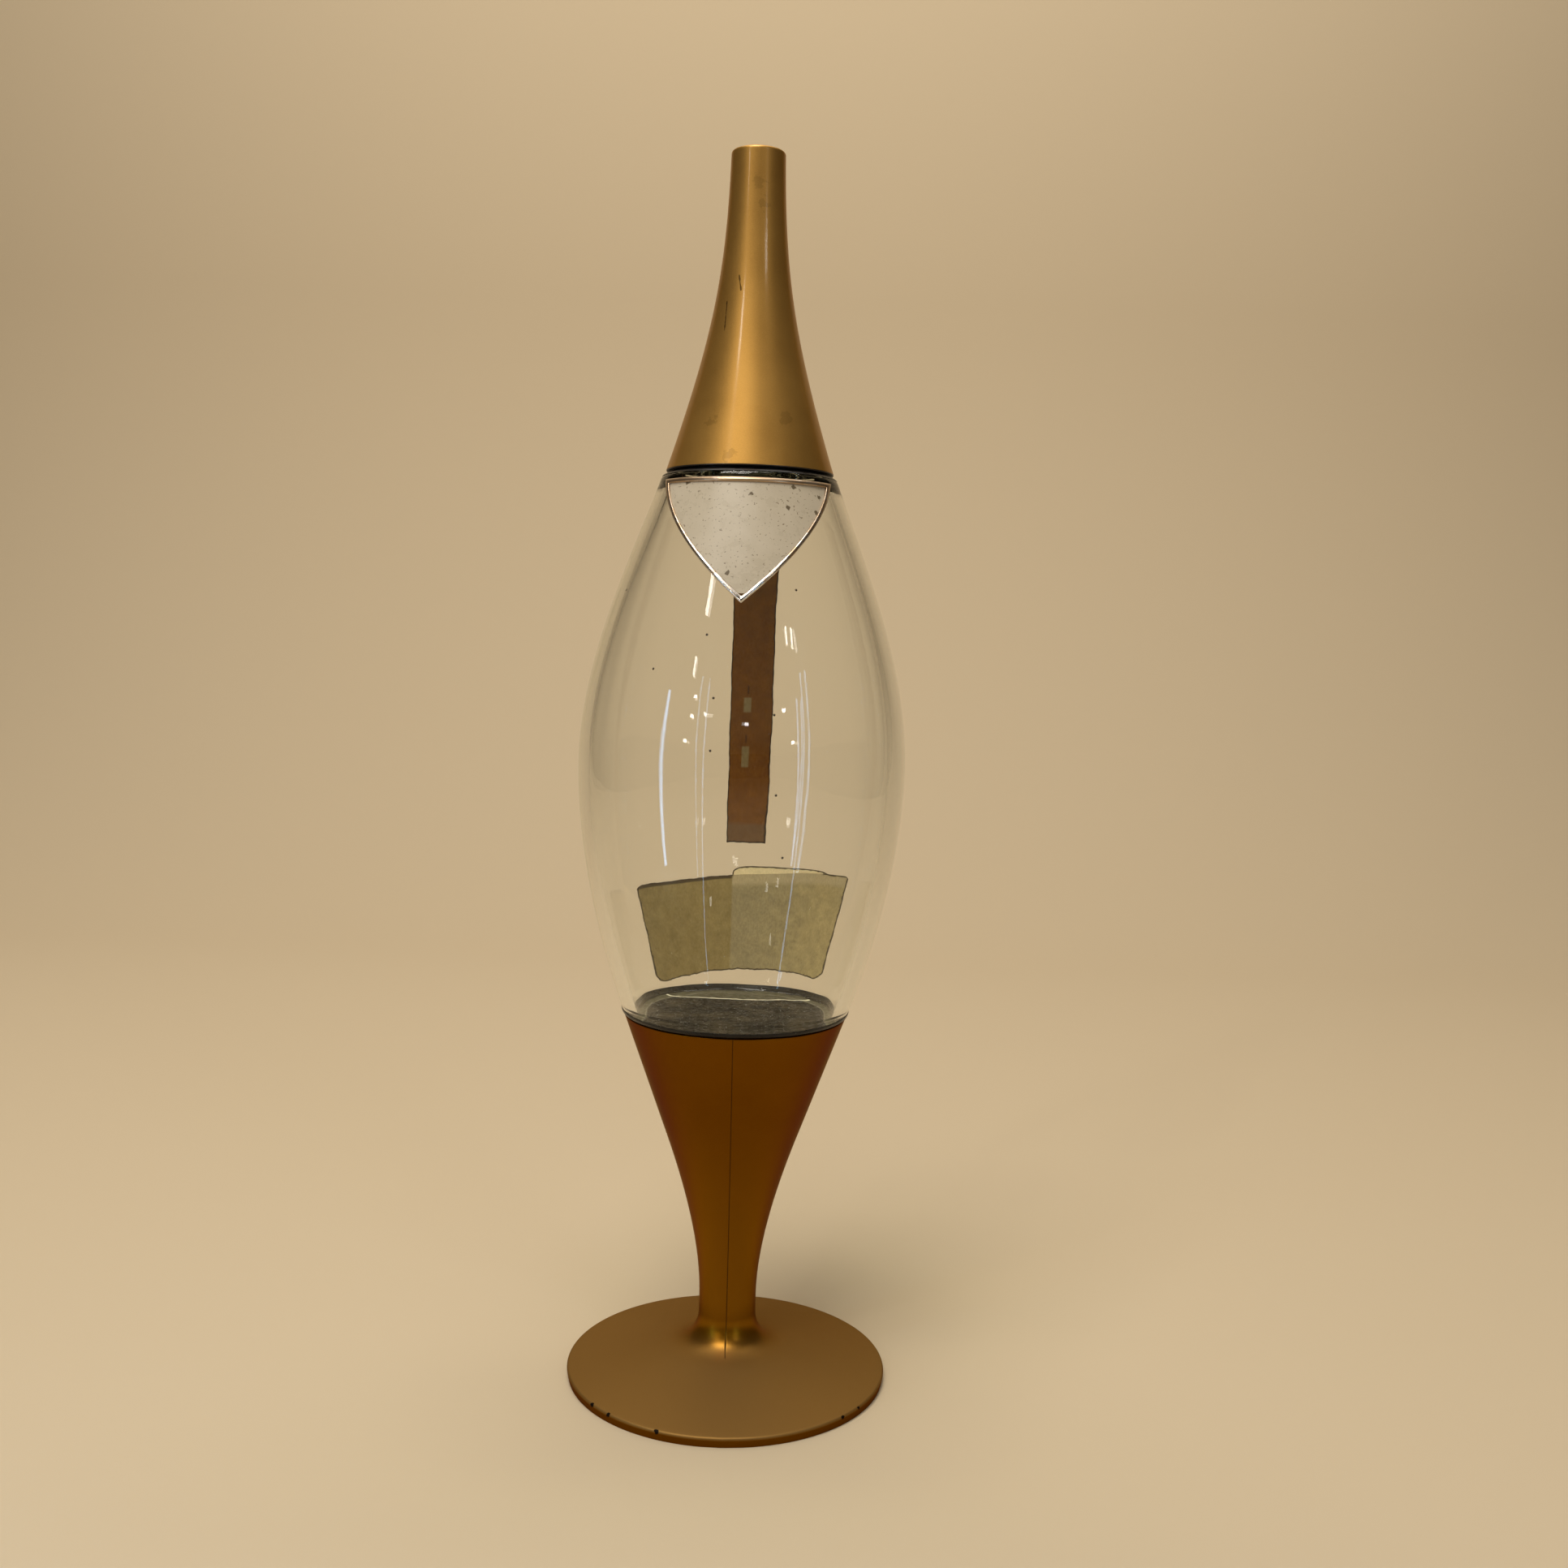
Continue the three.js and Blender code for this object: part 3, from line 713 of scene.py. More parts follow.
base_line = np.concatenate((
    [(0, plug_bottom + plug_dish)],
    line((2, plug_bottom + plug_dish), (plug_low[0] - 5, plug_bottom), 8),
    fillet((0, plug_bottom), plug_low, plug_top, heel_round),
    [plug_top - (0.02, 0.25), plug_top + (0.1, 0)],
    fillet(plug_top, heel, body_line[8], heel_round),
))
neck_line = np.concatenate((
    fillet(body_line[-6], shoulder, (neck_radius, shoulder[1]), shoulder_round, 12),
    line((shoulder[0] - 4, shoulder[1]), (neck_radius + 4, shoulder[1]), 4),
    fillet(shoulder, (neck_radius, shoulder[1]), (neck_radius, lip_top), 3),
    line((neck_radius, shoulder[1] + 5), (neck_radius, lip_top - 7), 8),
    [(lip_radius, lip_top - lip_tall)],
    fillet((lip_radius, lip_top - lip_tall), (lip_radius, lip_top), (bore_radius, lip_top), lip_round),
))
inner_body = offset(body_line, glass_wall)


def on_inner_wall(height):
    return np.array((radius_at(inner_body, height), height))


wall_low, wall_high = on_inner_wall(floor_height), on_inner_wall(ceiling_height)
bore_top, bore_low = (bore_radius, lip_top), (bore_radius, ceiling_height)
inside_line = np.concatenate((
    fillet((lip_radius, lip_top), bore_top, bore_low, 0.9, 6),
    line((bore_radius, lip_top - 3), (bore_radius, ceiling_height + 4), 10),
    fillet(bore_top, bore_low, wall_high, 3),
    line((bore_radius + 4, ceiling_height), (wall_high[0] - 4, ceiling_height), 3),
    fillet(bore_low, wall_high, on_inner_wall(ceiling_height - 9), ceiling_round),
    cut(inner_body, floor_height + 3, ceiling_height - 5)[::-1],
    fillet(on_inner_wall(floor_height + 9), wall_low, (0, floor_height), floor_round),
    line((wall_low[0] - 2.4, floor_height), (2, floor_height), 12),
    [(0, floor_height)],
))
print(f"glass: inside radius at the belly {radius_at(inner_body, belly[1]):.1f} mm")

# %% [markdown]
# The plug under the glass is bedded in a thin black skin, which keeps glass from grinding on plastic. It
# comes up over the heel as a narrow black ring of two beads. Through the clear floor it is what makes the
# bottom of the bottle look so dark. Its inner face lies a hair inside the glass, so that no film of air
# shows.

# %% Black bedding of the plug
bedding_top = heel[1] + 1.4
bedding_proud = 0.18
bead_start, bead_height, bead_width = 0.3, 0.10, 0.55
skin_sunk = 0.06
bedding_line = np.concatenate((base_line, cut(body_line, heel[1] + 1.0, bedding_top)))
from_heel = np.clip(bedding_line[:, 1] - heel[1] - bead_start, 0, None)
beads = bedding_proud + bead_height * np.abs(np.sin(from_heel * math.pi / bead_width))
bedding_rings = turned_rings(offset(bedding_line, -beads[:, None]))
bedding_rings += turned_rings(offset(bedding_line, skin_sunk)[::-1])
bedding_rings[0] = ring(0, base_line[0][1] - bedding_proud)
bedding_rings[-1] = ring(0, base_line[0][1] + skin_sunk)
bedding = turned_piece("plug_bedding", bedding_rings, [black_seal])
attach(bedding, "bottle")

# %% [markdown]
# The flange of the cap sits on the shoulder of the glass over a thin black sealing ring. Seen from the
# front, the rounded shoulder would mirror the bright studio wall in its flat top. Where the ring touches
# the glass there is no air and so no mirror: the round shows the ring's black instead.

# %% Sealing ring
seal_proud = 0.16
seal_below = 0.9
in_height = (neck_line[:, 1] > shoulder[1] - seal_below) & (neck_line[:, 1] < shoulder[1] + 0.05)
seal_line = neck_line[in_height & (neck_line[:, 0] > neck_radius + 1.5)]
seal_outer = offset(seal_line, -seal_proud)
seal_inner = offset(seal_line, skin_sunk)
seal_loop = np.concatenate((seal_outer, seal_inner[::-1], seal_outer[:1]))
seal = turned_piece("sealing_ring", turned_rings(seal_loop), [black_seal])
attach(seal, "bottle")

# %% [markdown]
# The shield on the front has a raised rim with a straight top and two bowed sides that meet in a
# point. It was cut into a mould that opened to the front, so its width is even when seen from the front,
# also where it runs round to the sides. That gives the recipe: closed outlines, one inside the next,
# are drawn as seen from the front and dropped straight back onto the glass, and each is lifted as a
# half-round bead is. The bead is brightly metallised, so its top draws a fine white line and its flanks
# go dark.

# %% Shield rim
shield_half_width = 24.6
shield_top = shoulder[1] - 2.6
shield_tip = shield_top - 36.6
shield_cheek = 23.5
shield_cheek_height = shield_top - 16.6
rim_width = 1.6
rim_proud = 0.8


def shield_side(inset, steps):
    slant = inset * math.hypot(shield_cheek, shield_cheek_height - shield_tip) / shield_cheek
    tip = (0, shield_tip + slant)
    cheek = (shield_cheek - inset, shield_cheek_height + inset * 0.5)
    return bow(tip, cheek, (shield_half_width - inset, shield_top - inset), steps)


def shield_outline(inset):
    side = shield_side(inset, 110)
    top = line(side[-1], side[-1] * (-1, 1), 90)[1:-1]
    return np.concatenate((side, top, (side * (-1, 1))[:0:-1]))


outside_body = np.concatenate((body_line[:-6], neck_line[:12]))
outside_body = outside_body[np.argsort(outside_body[:, 1])]
front_side, back_side = -1, 1


def onto_glass(flat, lift, side):
    """Carries points seen from the front, (x, z), straight onto the front or the back of the glass."""
    x, z = flat.T
    surface = radius_at(outside_body, z) + lift
    return np.column_stack((x, side * np.sqrt(surface ** 2 - x ** 2), z))


# %% [markdown]
# Moulded glass is never quite even. Its outside is smooth where it lay against the mould, but the inside
# was only blown and is wavy, mostly in long upright swells. They are what makes the wall behind look
# streaky. A few slow sine waves round the axis, drifting with height, give that without any randomness.
# Each wave acts as a lens, and a short wave on a narrow part is a strong one: it would tear the edge of
# the strip behind into a double image. So the waves fade out where the bottle gets narrow.

# %% Glass mesh
def wave(depth, count, start, drift):
    return lambda angles, height: depth * np.sin(count * angles + start + height * drift)


waves = (
    wave(0.16, count=5, start=0.8, drift=0.012),
    wave(0.09, count=11, start=2.1, drift=-0.021),
    wave(0.030, count=23, start=4.0, drift=0.030),
    wave(0.012, count=37, start=1.0, drift=-0.017),
)


def swell(angles, height):
    """How far the inner face wanders inwards at a height, in millimetres."""
    return sum(wave_here(angles, height) for wave_here in waves)


def inside_ring(radius, height):
    if radius < ON_AXIS:
        return ring(radius, height)
    strength = np.clip((radius - bore_radius - 2) / 8, 0, 1) * (radius / belly_radius) ** 3
    return ring(radius - strength * swell(plain_angles, height), height)


body_part = cut(body_line, heel[1] + 3.5, neck_line[0][1] - 0.4)
outside_rings = turned_rings(np.concatenate((base_line, body_part, neck_line)))
inner_rings = [inside_ring(radius, height) for radius, height in inside_line]
glass_rings = outside_rings + inner_rings

# %% [markdown]
# Cheap bottle glass has a faint green from the iron in its sand. It shows at the edges, where light runs
# a long way through the wall, and hardly at all in the middle. Tinting the surface would colour both
# alike. Absorption inside the solid does it right: the longer the way, the deeper the colour.
# A pale floor mirrored in the wall lays a veil over the dark things inside, so the mirror is toned down
# by a grey Specular Tint, and the streaks come back with brighter lamps.
# Glass blocks direct lamp light in a path tracer. A transparent stand-in for shadow rays lets the lamps
# reach the labels behind it.

# %% Clear glass
clear_glass, shader = new_finish("clear_glass")
tree = clear_glass.node_tree
place = place_on(shader)
shader.inputs["Base Color"].default_value = (0.995, 1.0, 0.995, 1)
shader.inputs["Transmission Weight"].default_value = 1.0
shader.inputs["IOR"].default_value = 1.5
shader.inputs["Specular Tint"].default_value = (0.5, 0.5, 0.5, 1)
haze = grain(stretched(place, (1, 1, 0.35)), 60, 4)
tree.links.new(ranged(haze, 0.45, 0.8, 0.0, 0.015), shader.inputs["Roughness"])
ripple = grain(stretched(place, (1, 1, 0.25)), 110, 1)
relief(shader, ripple, 0.12, 0.0002)
lamps_pass = node("ShaderNodeBsdfTransparent", {"Color": (0.93, 0.95, 0.91, 1)}, shader).outputs[0]
is_lamp_ray = node("ShaderNodeLightPath", {}, shader).outputs["Is Shadow Ray"]
through = node("ShaderNodeMixShader", {0: is_lamp_ray, 1: shader.outputs[0], 2: lamps_pass})
green_tint = {"Color": (0.74, 0.77, 0.67, 1), "Density": 27.0}
depth_tint = node("ShaderNodeVolumeAbsorption", green_tint, shader)
output = tree.nodes["Material Output"]
tree.links.new(through.outputs[0], output.inputs["Surface"])
tree.links.new(depth_tint.outputs[0], output.inputs["Volume"])

# %% [markdown]
# The inner floor gets a finish of its own, and its colours are painted: a dark, lumpy painted shade
# stands in for the black inside of the pedestal seen through the floor, with a few painted glints. It
# ends in a pale painted highlight line short of the back, where an olive colour stands in for the view
# through the thick glass, and a fainter painted reflection rings its edge. It is a second finish on the
# faces of that floor, so the glass stays one closed solid.

# %% Painted floor shade and the glass mesh
dark_floor_end = 0.019
dark_floor_outside = 0.0284
floor_shade_finish, shader = new_finish("painted_floor_shade")
place = place_on(shader)
lumps = grain(place, 420, 4, 0.65)
thin = ranged(grain(place, 130, 3), 0.45, 0.65)
colour = blend(thin, (0.006, 0.004, 0.002), (0.030, 0.021, 0.011))
# Painted glints: a few bright specks.
painted_glints = ranged(grain(place, 1500, 1), 0.68, 0.74)
colour = blend(painted_glints, colour, (0.42, 0.40, 0.36))
backwards = uneven(coordinate(place, "Y"), lumps, 0.0004)
outwards = uneven(vectors("LENGTH", {0: stretched(place, (1, 1, 0))}), lumps, 0.0003)
# Painted view: the olive zone stands in for what the thick glass there shows.
olive_view_zone = any_of([
    ranged(backwards, dark_floor_end, dark_floor_end + 0.0004),
    ranged(outwards, dark_floor_outside, dark_floor_outside + 0.0004),
])
# A painted highlight line where the dark ends, and a fainter painted reflection round its edge.
painted_lip_highlight = band(backwards, dark_floor_end, dark_floor_end + 0.0008, 0.0002)
painted_ring_reflection = band(outwards, dark_floor_outside, dark_floor_outside + 0.0004, 0.0002)
colour = blend(olive_view_zone, colour, (0.070, 0.058, 0.032))
colour = tinge(colour, painted_ring_reflection, 0.35, (0.42, 0.36, 0.25))
colour = tinge(colour, painted_lip_highlight, 0.9, (0.75, 0.66, 0.48))
show(shader, colour, ranged(lumps, 0.35, 0.65, 0.25, 0.75))
shader.inputs["Specular IOR Level"].default_value = 0.05
relief(shader, lumps, 0.6, 0.0008)

glass = turned_piece("glass_body", glass_rings, [clear_glass, floor_shade_finish], crease=60)
floor_shade_radius = wall_low[0] - 0.5
floor_shade_low, floor_shade_high = floor_height - 0.1, floor_height + 0.4


def under_floor_shade(radius, height):
    return radius < floor_shade_radius and floor_shade_low < height < floor_shade_high


second_finish(glass, under_floor_shade)
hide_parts("glass_bottle")
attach(glass, "bottle")

# %% [markdown]
# Paper and enamel lie on the glass. A flat plane would not do, because the glass curves both ways. So a
# small grid of places, across and up, is laid out in the flat and then wrapped: each place goes
# straight back or forward until it meets the glass. The sheet starts a hair inside the surface, so that
# no film of air lies between paper and glass, exactly as glue leaves none. Each point also keeps its
# distance from the sheet's edge, which the finishes use to darken rims and frays.

# %% Sheets on the glass
sheet_crease = math.radians(50)
least_step = 1e-6


def distance_to_path(points, path):
    nearest = np.full(len(points), 1e9)
    for start, end in zip(path, path[1:]):
        run = end - start
        share = np.clip(((points - start) @ run) / (run @ run), 0, 1)
        nearest = np.minimum(nearest, np.linalg.norm(points - start - share[:, None] * run, axis=1))
    return nearest


def sheet_on_glass(name, across, up_steps, layout, side, proud, finishes, sunk=skin_sunk):
    u, v = np.meshgrid(np.linspace(0, 1, across + 1), np.linspace(0, 1, up_steps + 1))
    x, z = layout(u, v)
    flat = np.column_stack((x.ravel(), z.ravel()))
    count = len(flat)
    border = np.concatenate((
        np.stack((x[0], z[0]), 1), np.stack((x[:, -1], z[:, -1]), 1),
        np.stack((x[-1], z[-1]), 1)[::-1], np.stack((x[:, 0], z[:, 0]), 1)[::-1],
    ))
    keep = np.append(True, np.linalg.norm(np.diff(border, axis=0), axis=1) > least_step)
    from_edge = distance_to_path(flat, border[keep])
    thickness = proud(u, v).ravel() if callable(proud) else proud
    vertices = np.concatenate((onto_glass(flat, thickness, side), onto_glass(flat, -sunk, side)))
    row = across + 1
    faces = []
    for j in range(up_steps):
        for i in range(across):
            a = j * row + i
            face = (a, a + 1, a + row + 1, a + row)
            faces += [face, tuple(count + k for k in reversed(face))]
    edge = [*range(row), *range(2 * row - 1, count, row), *range(count - 2, count - row - 1, -1)]
    edge += [*range(count - 2 * row, 0, -row)]
    faces += [(b, a, count + a, count + b) for a, b in zip(edge, edge[1:] + edge[:1])]
    if side == back_side:
        faces = [tuple(reversed(face)) for face in faces]
    piece = mesh_piece(name, vertices * MM, faces, finishes)
    piece.data.set_sharp_from_angle(angle=sheet_crease)
    kept = piece.data.attributes.new("edge_mm", "FLOAT", "POINT")
    kept.data.foreach_set("value", np.tile(from_edge, 2))
    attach(piece, "bottle")
    print(f"{name}: {x.min():.1f} to {x.max():.1f} mm across, {z.min():.1f} to {z.max():.1f} mm high")
    return piece


def fray(along, size, seed):
    """A small uneven wander along a torn or cut edge, in millimetres."""
    slow = np.sin(9 * along + seed)
    middling = 0.6 * np.sin(23 * along + 2.3 * seed)
    return size * (slow + middling + 0.45 * np.sin(61 * along + 5 * seed)) / 2


# %% [markdown]
# A photograph's pixel can say where a mark is. A ray from the camera through the pixel is followed until
# it meets the glass or the cap, so the mark sits on the piece from every side.

# %% From a pixel to a piece
ray_step = 0.0002


def seen_on(outline, pixel):
    """Where the ray through a pixel meets the piece turned from that outline, in metres."""
    reach = Vector((
        (pixel[0] - photo_width / 2) / focal_length_pixels,
        -(pixel[1] - photo_width / 2) / focal_length_pixels,
        -1,
    ))
    step = (camera.matrix_world.to_3x3() @ reach).normalized() * ray_step
    point = camera.matrix_world.translation.copy()
    while math.hypot(point.x, point.y) > radius_at(outline, point.z / MM) * MM:
        point += step
    return point


# %% [markdown]
# A few specks of grit are stuck on the glass. Each is a tiny lens-shaped bead, half sunk in the surface.

# %% Specks of grit
speck_finish, shader = new_finish("grit")
place = place_on(shader)
dirt = grain(place, 1500, 2)
colour = blend(dirt, (0.035, 0.022, 0.012), (0.12, 0.085, 0.05))
show(shader, colour, ranged(dirt, 0.3, 0.7, 0.5, 0.8))
relief(shader, dirt, 0.5, 0.0001)

speck_radius = 0.38
speck_proud = 0.1
speck_rim_sunk = 0.03
speck_sides = 8
speck_pixels = (
    (879, 860), (875, 925), (805, 824), (871, 782), (772, 727),
    (981, 727), (956, 980), (954, 881), (964, 1057),
)
speck_points, speck_faces = [], []
for pixel in speck_pixels:
    centre = seen_on(outside_body, pixel) / MM
    slope = radius_at(outside_body, centre.z + 0.5) - radius_at(outside_body, centre.z - 0.5)
    outward = Vector((centre.x, centre.y, -slope * math.hypot(centre.x, centre.y))).normalized()
    across = Vector((0, 0, 1)).cross(outward).normalized()
    upward = outward.cross(across)
    first = len(speck_points)
    for k in range(speck_sides):
        turn = k * 2 * math.pi / speck_sides
        sideways = across * math.cos(turn) + upward * math.sin(turn)
        speck_points.append(centre + sideways * speck_radius - outward * speck_rim_sunk)
    speck_points += [centre + outward * speck_proud, centre - outward * speck_proud]
    top, under = first + speck_sides, first + speck_sides + 1
    for k in range(speck_sides):
        j = (k + 1) % speck_sides
        speck_faces += [(first + k, first + j, top), (first + j, first + k, under)]
specks_piece = mesh_piece("grit_specks", np.array(speck_points) * MM, speck_faces, [speck_finish])
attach(specks_piece, "bottle")
print(f"grit_specks: {len(speck_pixels)} specks")

# %% [markdown]
# The rim's bright metal is mixed with a dull brown: in patches as wear, and, growing towards the top of
# the shield, as a painted reflection.

# %% Rim finish and mesh
rim_finish, shader = new_finish("bright_rim")
place = place_on(shader)
height = coordinate(place, "Z")
# Painted reflection: more brown towards the top of the shield.
painted_brown_reflection = ranged(height, (shield_top - 24) * MM, (shield_top - 8) * MM, 0.0, 0.8)
wear_and_reflection = maths("ADD", ranged(grain(place, 260, 3, 0.6), 0.42, 0.66), painted_brown_reflection)
colour = blend(wear_and_reflection, (0.86, 0.82, 0.76), (0.50, 0.36, 0.23))
show(shader, colour, ranged(wear_and_reflection, 0, 1, 0.12, 0.32))
shader.inputs["Metallic"].default_value = 0.9
relief(shader, grain(place, 420, 2), 0.35, 0.0002)

rim_steps = 12
rim_loops = []
for k in range(rim_steps + 1):
    across = 2 * k / rim_steps - 1
    lift = rim_proud * math.sqrt(1 - across ** 2) if abs(across) < 1 else -0.1
    rim_loops.append(onto_glass(shield_outline(rim_width * k / rim_steps), lift, front_side))
rim_count = len(rim_loops[0])
rim_faces = []
for k in range(len(rim_loops)):
    below, above = k * rim_count, (k + 1) % len(rim_loops) * rim_count
    for i in range(rim_count):
        j = (i + 1) % rim_count
        rim_faces.append((below + i, above + i, above + j, below + j))
rim = mesh_piece("shield_rim", np.concatenate(rim_loops) * MM, rim_faces, [rim_finish])
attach(rim, "bottle")
print(f"shield_rim: {rim_width} mm wide, {rim_proud} mm proud, {len(rim_faces)} faces")

# %% [markdown]
# The shield's field is filled with enamel: powdered glass, fired on, once off-white and now a worn
# grey-cream with brown pinholes and a few larger stains. Fine specks come from a grain that is cut off
# high, so only its peaks are left. The larger stains are placed.

# %% Shield enamel
enamel, shader = new_finish("worn_enamel")
place = place_on(shader)
cloud = grain(place, 130, 4, 0.6)
colour = blend(ranged(cloud, 0.3, 0.7), (0.54, 0.465, 0.338), (0.585, 0.505, 0.372))
specks = ranged(grain(place, 1300, 2, 0.6), 0.64, 0.68)
stain_radius = 0.0007
stain_pixels = (
    (1006, 633), (896, 706), (950, 707), (848, 594), (978, 601),
    (1009, 613), (933, 722), (925, 608), (972, 626),
)
stain_points = [tuple(seen_on(outside_body, pixel)) for pixel in stain_pixels]
stains = any_of([spot(place, point, stain_radius, 0.7) for point in stain_points])
colour = tinge(colour, specks, 0.75, (0.15, 0.10, 0.05))
colour = tinge(colour, stains, 0.9, (0.11, 0.075, 0.035))
show(shader, colour, ranged(cloud, 0.3, 0.7, 0.22, 0.4))
relief(shader, maths("SUBTRACT", grain(place, 420, 2), specks), 0.25, 0.00006)


def field_layout(u, v):
    side = shield_side(rim_width - 0.05, 200)
    shares = np.linspace(0, 1, len(side))
    t = 0.02 + 0.98 * v
    return (2 * u - 1) * np.interp(t, shares, side[:, 0]), np.interp(t, shares, side[:, 1])


enamel_proud = 0.14
field = sheet_on_glass("shield_field", 120, 90, field_layout, front_side, enamel_proud, [enamel])
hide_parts("shield_enamel")

# %% [markdown]
# A brown strip of gummed paper runs up the back. From the front it is seen through two walls of glass
# and a whole bottle of air. Old gummed paper goes brown and blotchy, darkest at its edges. It has two
# lighter patches, each with a short slit above it, and its low end has faded.

# %% Old paper and the strip
def old_paper(name, light, dark, edge_colour, edge_width, zones=None, edge_shows=None):
    finish, shader = new_finish(name)
    place = place_on(shader)
    blotch = ranged(grain(place, 260, 6, 0.75), 0.34, 0.66)
    fibre = grain(stretched(place, (1, 1, 0.3)), 2600, 3)
    colour = blend(blotch, dark, light)
    if zones:
        colour = zones(place, colour)
    colour = blend(ranged(fibre, 0.35, 0.7, 0, 0.25), colour, tuple(0.55 * c for c in dark))
    from_edge = uneven(kept_distance(place, "edge_mm"), grain(place, 700, 2), 0.15)
    at_edge = ranged(from_edge, edge_width, edge_width * 0.5)
    if edge_shows:
        at_edge = both(at_edge, edge_shows(place))
    colour = blend(at_edge, colour, edge_colour)
    show(shader, colour, ranged(fibre, 0.3, 0.7, 0.65, 0.9))
    shader.inputs["Specular IOR Level"].default_value = 0.3
    relief(shader, fibre, 0.3, 0.00006)
    return finish


strip_left = 6.1
strip_right_low, strip_right_high = 5.7, 9.9
strip_low, strip_high = heel[1] + 47.3, heel[1] + 146
patch_half_width = 0.0013
upper_patch = (0.2084, 0.2134)
lower_patch = (0.1895, 0.1966)
slit = (-0.0002, 0.0004)
slit_above, slit_until = 0.0012, 0.004
faded_end = (0.1712, 0.1696)
strip_proud = 0.16
strip_edge_brown = (0.030, 0.012, 0.003)
patch_brown, faded_brown = (0.30, 0.21, 0.085), (0.16, 0.105, 0.055)


# Two lighter patches, each with a dark slit above it, and a lighter low end.
def light_patches(place, colour):
    x, height = coordinate(place, "X"), coordinate(place, "Z")
    across = band(x, -patch_half_width, patch_half_width, 0.0002)
    in_slit = band(x, *slit, 0.0002)
    for low, high in (upper_patch, lower_patch):
        patched = both(across, band(height, low, high, 0.0003))
        colour = tinge(colour, patched, 0.8, patch_brown)
        opened = both(in_slit, band(height, high + slit_above, high + slit_until, 0.0004))
        colour = tinge(colour, opened, 0.7, strip_edge_brown)
    faded = ranged(height, *faded_end, smooth=True)
    return tinge(colour, faded, 0.45, faded_brown)


brown_paper = old_paper(
    "brown_paper", light=(0.225, 0.070, 0.001), dark=(0.160, 0.046, 0.001),
    edge_colour=strip_edge_brown, edge_width=0.6, zones=light_patches,
)


def strip_layout(u, v):
    wander = fray(v * 3, 0.22, 1.0) * (1 - u) + fray(v * 3, 0.22, 2.6) * u
    right_side = strip_right_low + v * (strip_right_high - strip_right_low)
    x = -strip_left + u * (strip_left + right_side) + wander
    return x, strip_low + v * (strip_high - strip_low) + fray(u * 2, 0.15, 4.1) * (1 - v)


strip = sheet_on_glass("paper_strip", 44, 260, strip_layout, back_side, strip_proud, [brown_paper])
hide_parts("strip_label")

# %% [markdown]
# Two labels lie one over the other low on the back. The first is an olive trapezium that follows
# the taper of the glass. Its top edge is torn on the left half and has rolled over into a thick
# brown lip. A smaller, paler slip with round corners covers its right half and stands out above it.
# The slip backs the olive one there, so it looks paler, and palest in a band along its top.

# %% Label under the slip
label_left, label_right = 36.7, 36.9
label_foot_left, label_foot_right = 29.7, 30.0
label_left_low, label_right_low = heel[1] + 2.3, heel[1] + 5.0
label_left_high, label_right_high = heel[1] + 34.0, heel[1] + 39.4
label_arch, label_corner, label_top_corner = 2.2, 5.0, 1.5
label_foot_width, label_top_width = 62, 74
label_proud = 0.14
slip_left, slip_right, slip_foot_right = 3.6, 35.2, 28.4
slip_low, slip_high = heel[1] + 6.5, heel[1] + 39.6
slip_corner = 7.0
torn_until = 0.455
lip_below_top, lip_half_width, lip_proud = 0.45, 0.5, 0.5
top_band, brown_lip, lip_ends = (0.0042, 0.0026), (0.0013, 0.0009), (-0.0032, -0.0042)
hidden_across, hidden_above = (-0.0033, 0.0295), (0.145, 0.147)


def corner_lift(u, width, corner):
    from_side = np.minimum(u, 1 - u) * width
    gap = np.clip(corner - from_side, 0, corner)
    return corner - np.sqrt(corner ** 2 - gap ** 2)


def label_top(x):
    share = (x + label_left) / (label_left + label_right)
    return label_left_high + share * (label_right_high - label_left_high)


def label_layout(u, v):
    left = -label_foot_left - v * (label_left - label_foot_left) + fray(v * 2, 0.12, 0.4)
    right_side = label_foot_right + v * (label_right - label_foot_right) + fray(v * 2, 0.12, 1.9)
    x = left + u * (right_side - left)
    arch = label_arch * (1 - (2 * u - 1) ** 2)
    bottom = label_left_low + u * (label_right_low - label_left_low) + arch
    bottom += corner_lift(u, label_foot_width, label_corner) + fray(u * 4, 0.22, 3.0)
    bottom += fray(u * 13, 0.12, 1.3)
    top = label_top(x) + fray(u * 5, 0.2, 5.2) * (u < torn_until)
    top -= 0.5 * corner_lift(u, label_top_width, label_top_corner)
    return x, bottom + v * (top - bottom)


def rolled_lip(u, v):
    """How far the label stands out from the glass: more where its torn edge has rolled over."""
    from_top = (1 - v) * (label_left_high - label_left_low)
    roll = np.clip(1 - ((from_top - lip_below_top) / lip_half_width) ** 2, 0, 1)
    roll *= np.clip((torn_until - u) / 0.02, 0, 1)
    return label_proud + lip_proud * np.sqrt(roll)


def under_slip(place, colour):
    x, height = coordinate(place, "X"), coordinate(place, "Z")
    covered = ranged(x, -(slip_left + 0.3) * MM, -(slip_left - 0.3) * MM)
    paler = ranged(x, 0.0, 0.034, smooth=True)
    worn = ranged(grain(place, 260, 6, 0.75), 0.34, 0.66, 0.8, 1.15)
    with_slip = blend(paler, (0.355, 0.255, 0.125), (0.50, 0.345, 0.145))
    with_slip = vectors("SCALE", {0: with_slip, "Scale": worn})
    colour = tinge(colour, covered, 0.85, with_slip)
    tilt = (label_right_high - label_left_high) / (label_left + label_right)
    level = maths("SUBTRACT", height, both(x, tilt))
    top = label_top(0) * MM
    in_band = ranged(level, top - top_band[0], top - top_band[1])
    in_lip = ranged(level, top - brown_lip[0], top - brown_lip[1])
    colour = tinge(colour, both(covered, in_band), 0.85, (0.55, 0.39, 0.205))
    return blend(both(in_lip, ranged(x, *lip_ends)), colour, (0.060, 0.030, 0.010))


